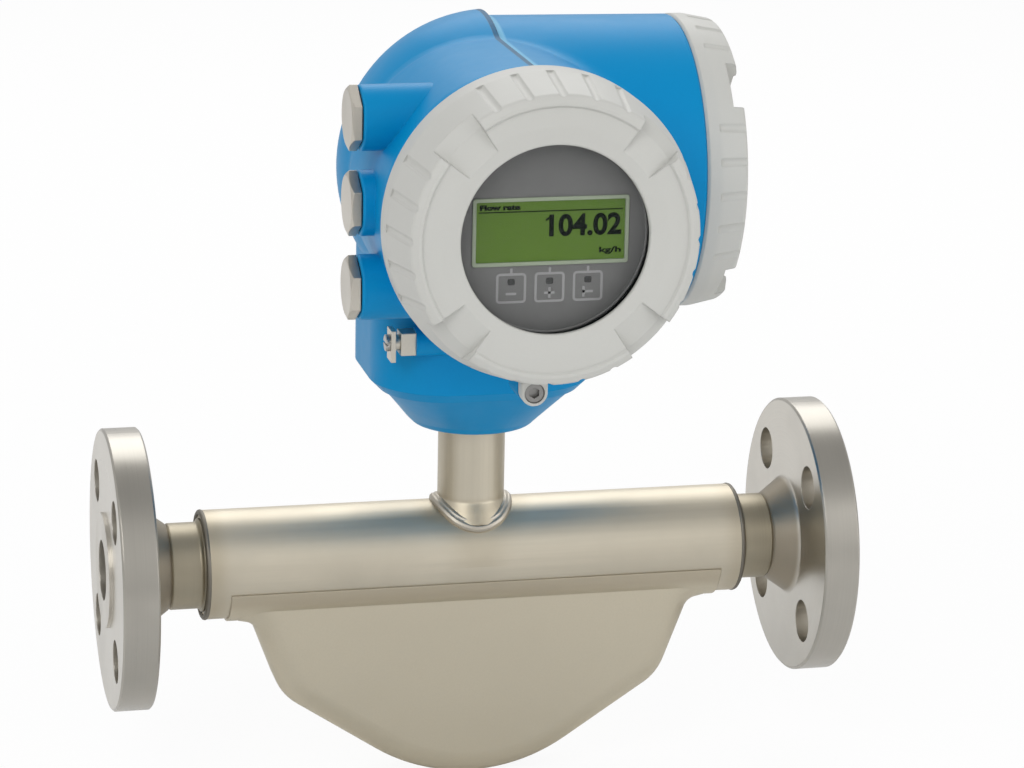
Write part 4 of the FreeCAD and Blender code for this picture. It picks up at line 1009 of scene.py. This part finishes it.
class METER_OT_touch_keys(bpy.types.Operator):
    """Print the outlines and signs of the three touch keys"""

    bl_idname = "meter.touch_keys"
    bl_label = "Touch keys"

    def execute(self, context):
        size = sizes()
        line = size.key_line
        thick = size.print_height
        middle_x = (FRAME_BOX[0].x + FRAME_BOX[1].x) / 2
        key_z = FRAME_BOX[0].z - KEY_DROP - size.key_size / 2
        marks = []
        eyes = []
        for step in (-1, 0, 1):
            centre = Vector((middle_x + step * size.key_pitch, BEZEL_BOX[0].y - thick / 2,
                             key_z))
            marks.append(outline_plate(centre, size.key_size, thick, KEY_CORNER, line))
            stem = centre + Vector((0, 0, size.key_size / 2 + STEM_RISE))
            marks.append(plate(stem, line, STEM_LENGTH, thick))
            sign = centre + Vector((0, 0, -SIGN_DROP))
            marks.append(plate(sign, SIGN_LENGTH, line, thick))
            if step >= 0:
                upright = sign + Vector((-SIGN_SHIFT * step, 0, 0))
                marks.append(plate(upright, line, SIGN_LENGTH, thick))
            eye = centre + Vector((0, 0, EYE_RISE))
            eyes.append(plate(eye, EYE_WIDTH, EYE_HEIGHT, thick, EYE_CORNER))
        pale = moulded("key_print", colours().key, 0.45, 900.0, 0.00001, 0.0)
        finish_piece(joined(marks), "touch_keys", pale, "display_module")
        dark = moulded("key_eyes", scaled(colours().bezel, 0.25), 0.25, 700.0, 0.00001, 0.0)
        finish_piece(joined(eyes), "touch_key_eyes", dark, "display_module")
        return {"FINISHED"}


class METER_OT_bezel_rim(bpy.types.Operator):
    """Raise the thin rim round the face of the display"""

    bl_idname = "meter.bezel_rim"
    bl_label = "Bezel rim"

    def execute(self, context):
        width = sizes().rim_width
        nothing_selected()
        bpy.ops.mesh.primitive_circle_add(vertices=RIM_SIDES, radius=RIM_RADIUS,
                                          fill_type="NGON", location=(0, 0, 0))
        piece = bpy.context.object
        edit_all(piece)
        bpy.ops.mesh.inset(thickness=width)
        bpy.ops.mesh.delete(type="FACE")
        bpy.ops.mesh.select_all(action="SELECT")
        thicken(width * RIM_HEIGHT_SHARE)
        rounding = piece.modifiers.new("round", "BEVEL")
        rounding.width = width * RIM_ROUNDING_SHARE
        rounding.segments = 2
        only(piece)
        bpy.ops.object.modifier_apply(modifier=rounding.name)
        piece.rotation_euler = (QUARTER, 0, 0)
        piece.location = (DISPLAY_CENTRE.x, BEZEL_BOX[0].y, DISPLAY_CENTRE.z)
        settle(piece, "bezel_rim")
        smooth(piece)
        # Painted highlight: the rim is painted lighter than the bezel.
        plastic = moulded("rim_highlight_plastic", scaled(colours().bezel, 1.25), 0.36)
        finish_piece(piece, "bezel_rim", plastic, "display_module")
        return {"FINISHED"}


class METER_OT_stage(bpy.types.Operator):
    """Set up the floor, the lamps, the world and the camera"""

    bl_idname = "meter.stage"
    bl_label = "Stage"

    def execute(self, context):
        self.floor()
        self.world()
        for lamp in LAMPS:
            self.lamp(*lamp)
        self.camera()
        context.scene.view_settings.view_transform = "Standard"
        return {"FINISHED"}

    def floor(self):
        """Pale floor that reads white and still takes the meter's shadow."""
        nothing_selected()
        bpy.ops.mesh.primitive_plane_add(size=FLOOR_WIDTH,
                                         location=(STAGE_MIDDLE.x, 0, CAD_BOX[0][2]))
        ground = bpy.context.object
        ground.name = "floor"
        material, graph = new_finish("studio_floor")
        grain = graph.noise(graph.place(), 40.0, 2.0, 0.5)
        shade = graph.tones(grain, colours().floor, 0.99, 1.0)
        matte = graph.node("ShaderNodeBsdfDiffuse", values={"Color": shade})
        glow = graph.node("ShaderNodeEmission", values={"Color": WHITE, "Strength": 1.0})
        seen = graph.node("ShaderNodeLightPath", output="Is Camera Ray")
        mixed = graph.node("ShaderNodeMixShader",
                           values={0: seen * FLOOR_SHINE, 1: matte, 2: glow})
        graph.node("ShaderNodeOutputMaterial", values={"Surface": mixed})
        ground.data.materials.append(material)

    def world(self):
        """White surroundings for the eye, a graded room for reflections, soft light else."""
        room = bpy.data.worlds.new("studio")
        bpy.context.scene.world = room
        room.use_nodes = True
        graph = Graph(room.node_tree)
        height = graph.split(graph.node("ShaderNodeTexCoord", output="Generated"))[2]
        level = graph.node("ShaderNodeValToRGB", {"stops": ROOM_LEVELS},
                           {0: height * 0.5 + 0.5})
        eye, gloss, through = (graph.node("ShaderNodeLightPath", output=f"Is {kind} Ray")
                               for kind in ("Camera", "Glossy", "Transmission"))
        white, mirror, soft = (
            graph.node("ShaderNodeBackground", values={"Color": colour, "Strength": strength})
            for colour, strength in ((WHITE, 1.0), (level, 1.0), (WHITE, SOFT_LIGHT)))
        lit = graph.node("ShaderNodeMixShader", values={0: gloss + through, 1: soft, 2: mirror})
        whole = graph.node("ShaderNodeMixShader", values={0: eye, 1: lit, 2: white})
        graph.node("ShaderNodeOutputWorld", values={"Surface": whole})

    def lamp(self, name, place, width, power):
        """Soft square lamp that faces the middle of the meter."""
        turn = (STAGE_MIDDLE - Vector(place)).to_track_quat("-Z", "Y").to_euler()
        nothing_selected()
        bpy.ops.object.light_add(type="AREA", location=place, rotation=turn)
        made = bpy.context.object
        made.name = name
        made.data.shape = "SQUARE"
        made.data.size = width
        made.data.energy = power

    def camera(self):
        """Long lens a little above the meter and to its left."""
        turn = (Matrix.Rotation(CAMERA_AZIMUTH, 3, "Z")
                @ Matrix.Rotation(QUARTER - CAMERA_ELEVATION, 3, "X")
                @ Matrix.Rotation(CAMERA_ROLL, 3, "Z"))
        place = CAMERA_AIM + turn @ Vector((0, 0, sizes().camera_distance))
        nothing_selected()
        bpy.ops.object.camera_add(location=place, rotation=turn.to_euler())
        made = bpy.context.object
        made.name = "camera"
        made.data.lens = CAMERA_LENS
        made.data.sensor_width = CAMERA_SENSOR
        bpy.context.scene.camera = made


OPERATORS = (METER_OT_finishes, METER_OT_ring_welds, METER_OT_readout, METER_OT_touch_keys,
             METER_OT_bezel_rim, METER_OT_stage)


class METER_PT_build(bpy.types.Panel):
    """List of the meter's pieces"""

    bl_idname = "METER_PT_build"
    bl_label = "Flow Meter"
    bl_space_type = "VIEW_3D"
    bl_region_type = "UI"
    bl_category = "Flow Meter"

    def draw(self, context):
        for operator in OPERATORS:
            self.layout.operator(operator.bl_idname)
        for group, kind in ((colours(), MeterColours), (sizes(), MeterSizes)):
            box = self.layout.box()
            for name in kind.__annotations__:
                box.prop(group, name)


CLASSES = (MeterColours, MeterSizes) + OPERATORS + (METER_PT_build,)


def register():
    """Make the classes and the scene's settings known."""
    for kind in CLASSES:
        bpy.utils.register_class(kind)
    bpy.types.Scene.meter_colours = bpy.props.PointerProperty(type=MeterColours)
    bpy.types.Scene.meter_sizes = bpy.props.PointerProperty(type=MeterSizes)


def unregister():
    """Take the classes and the settings away again."""
    del bpy.types.Scene.meter_sizes
    del bpy.types.Scene.meter_colours
    for kind in reversed(CLASSES):
        bpy.utils.unregister_class(kind)


def main():
    """Build every piece in order."""
    register()
    bpy.ops.meter.finishes()
    bpy.ops.meter.ring_welds()
    bpy.ops.meter.readout()
    bpy.ops.meter.touch_keys()
    bpy.ops.meter.bezel_rim()
    bpy.ops.meter.stage()


if __name__ == "__main__":
    main()
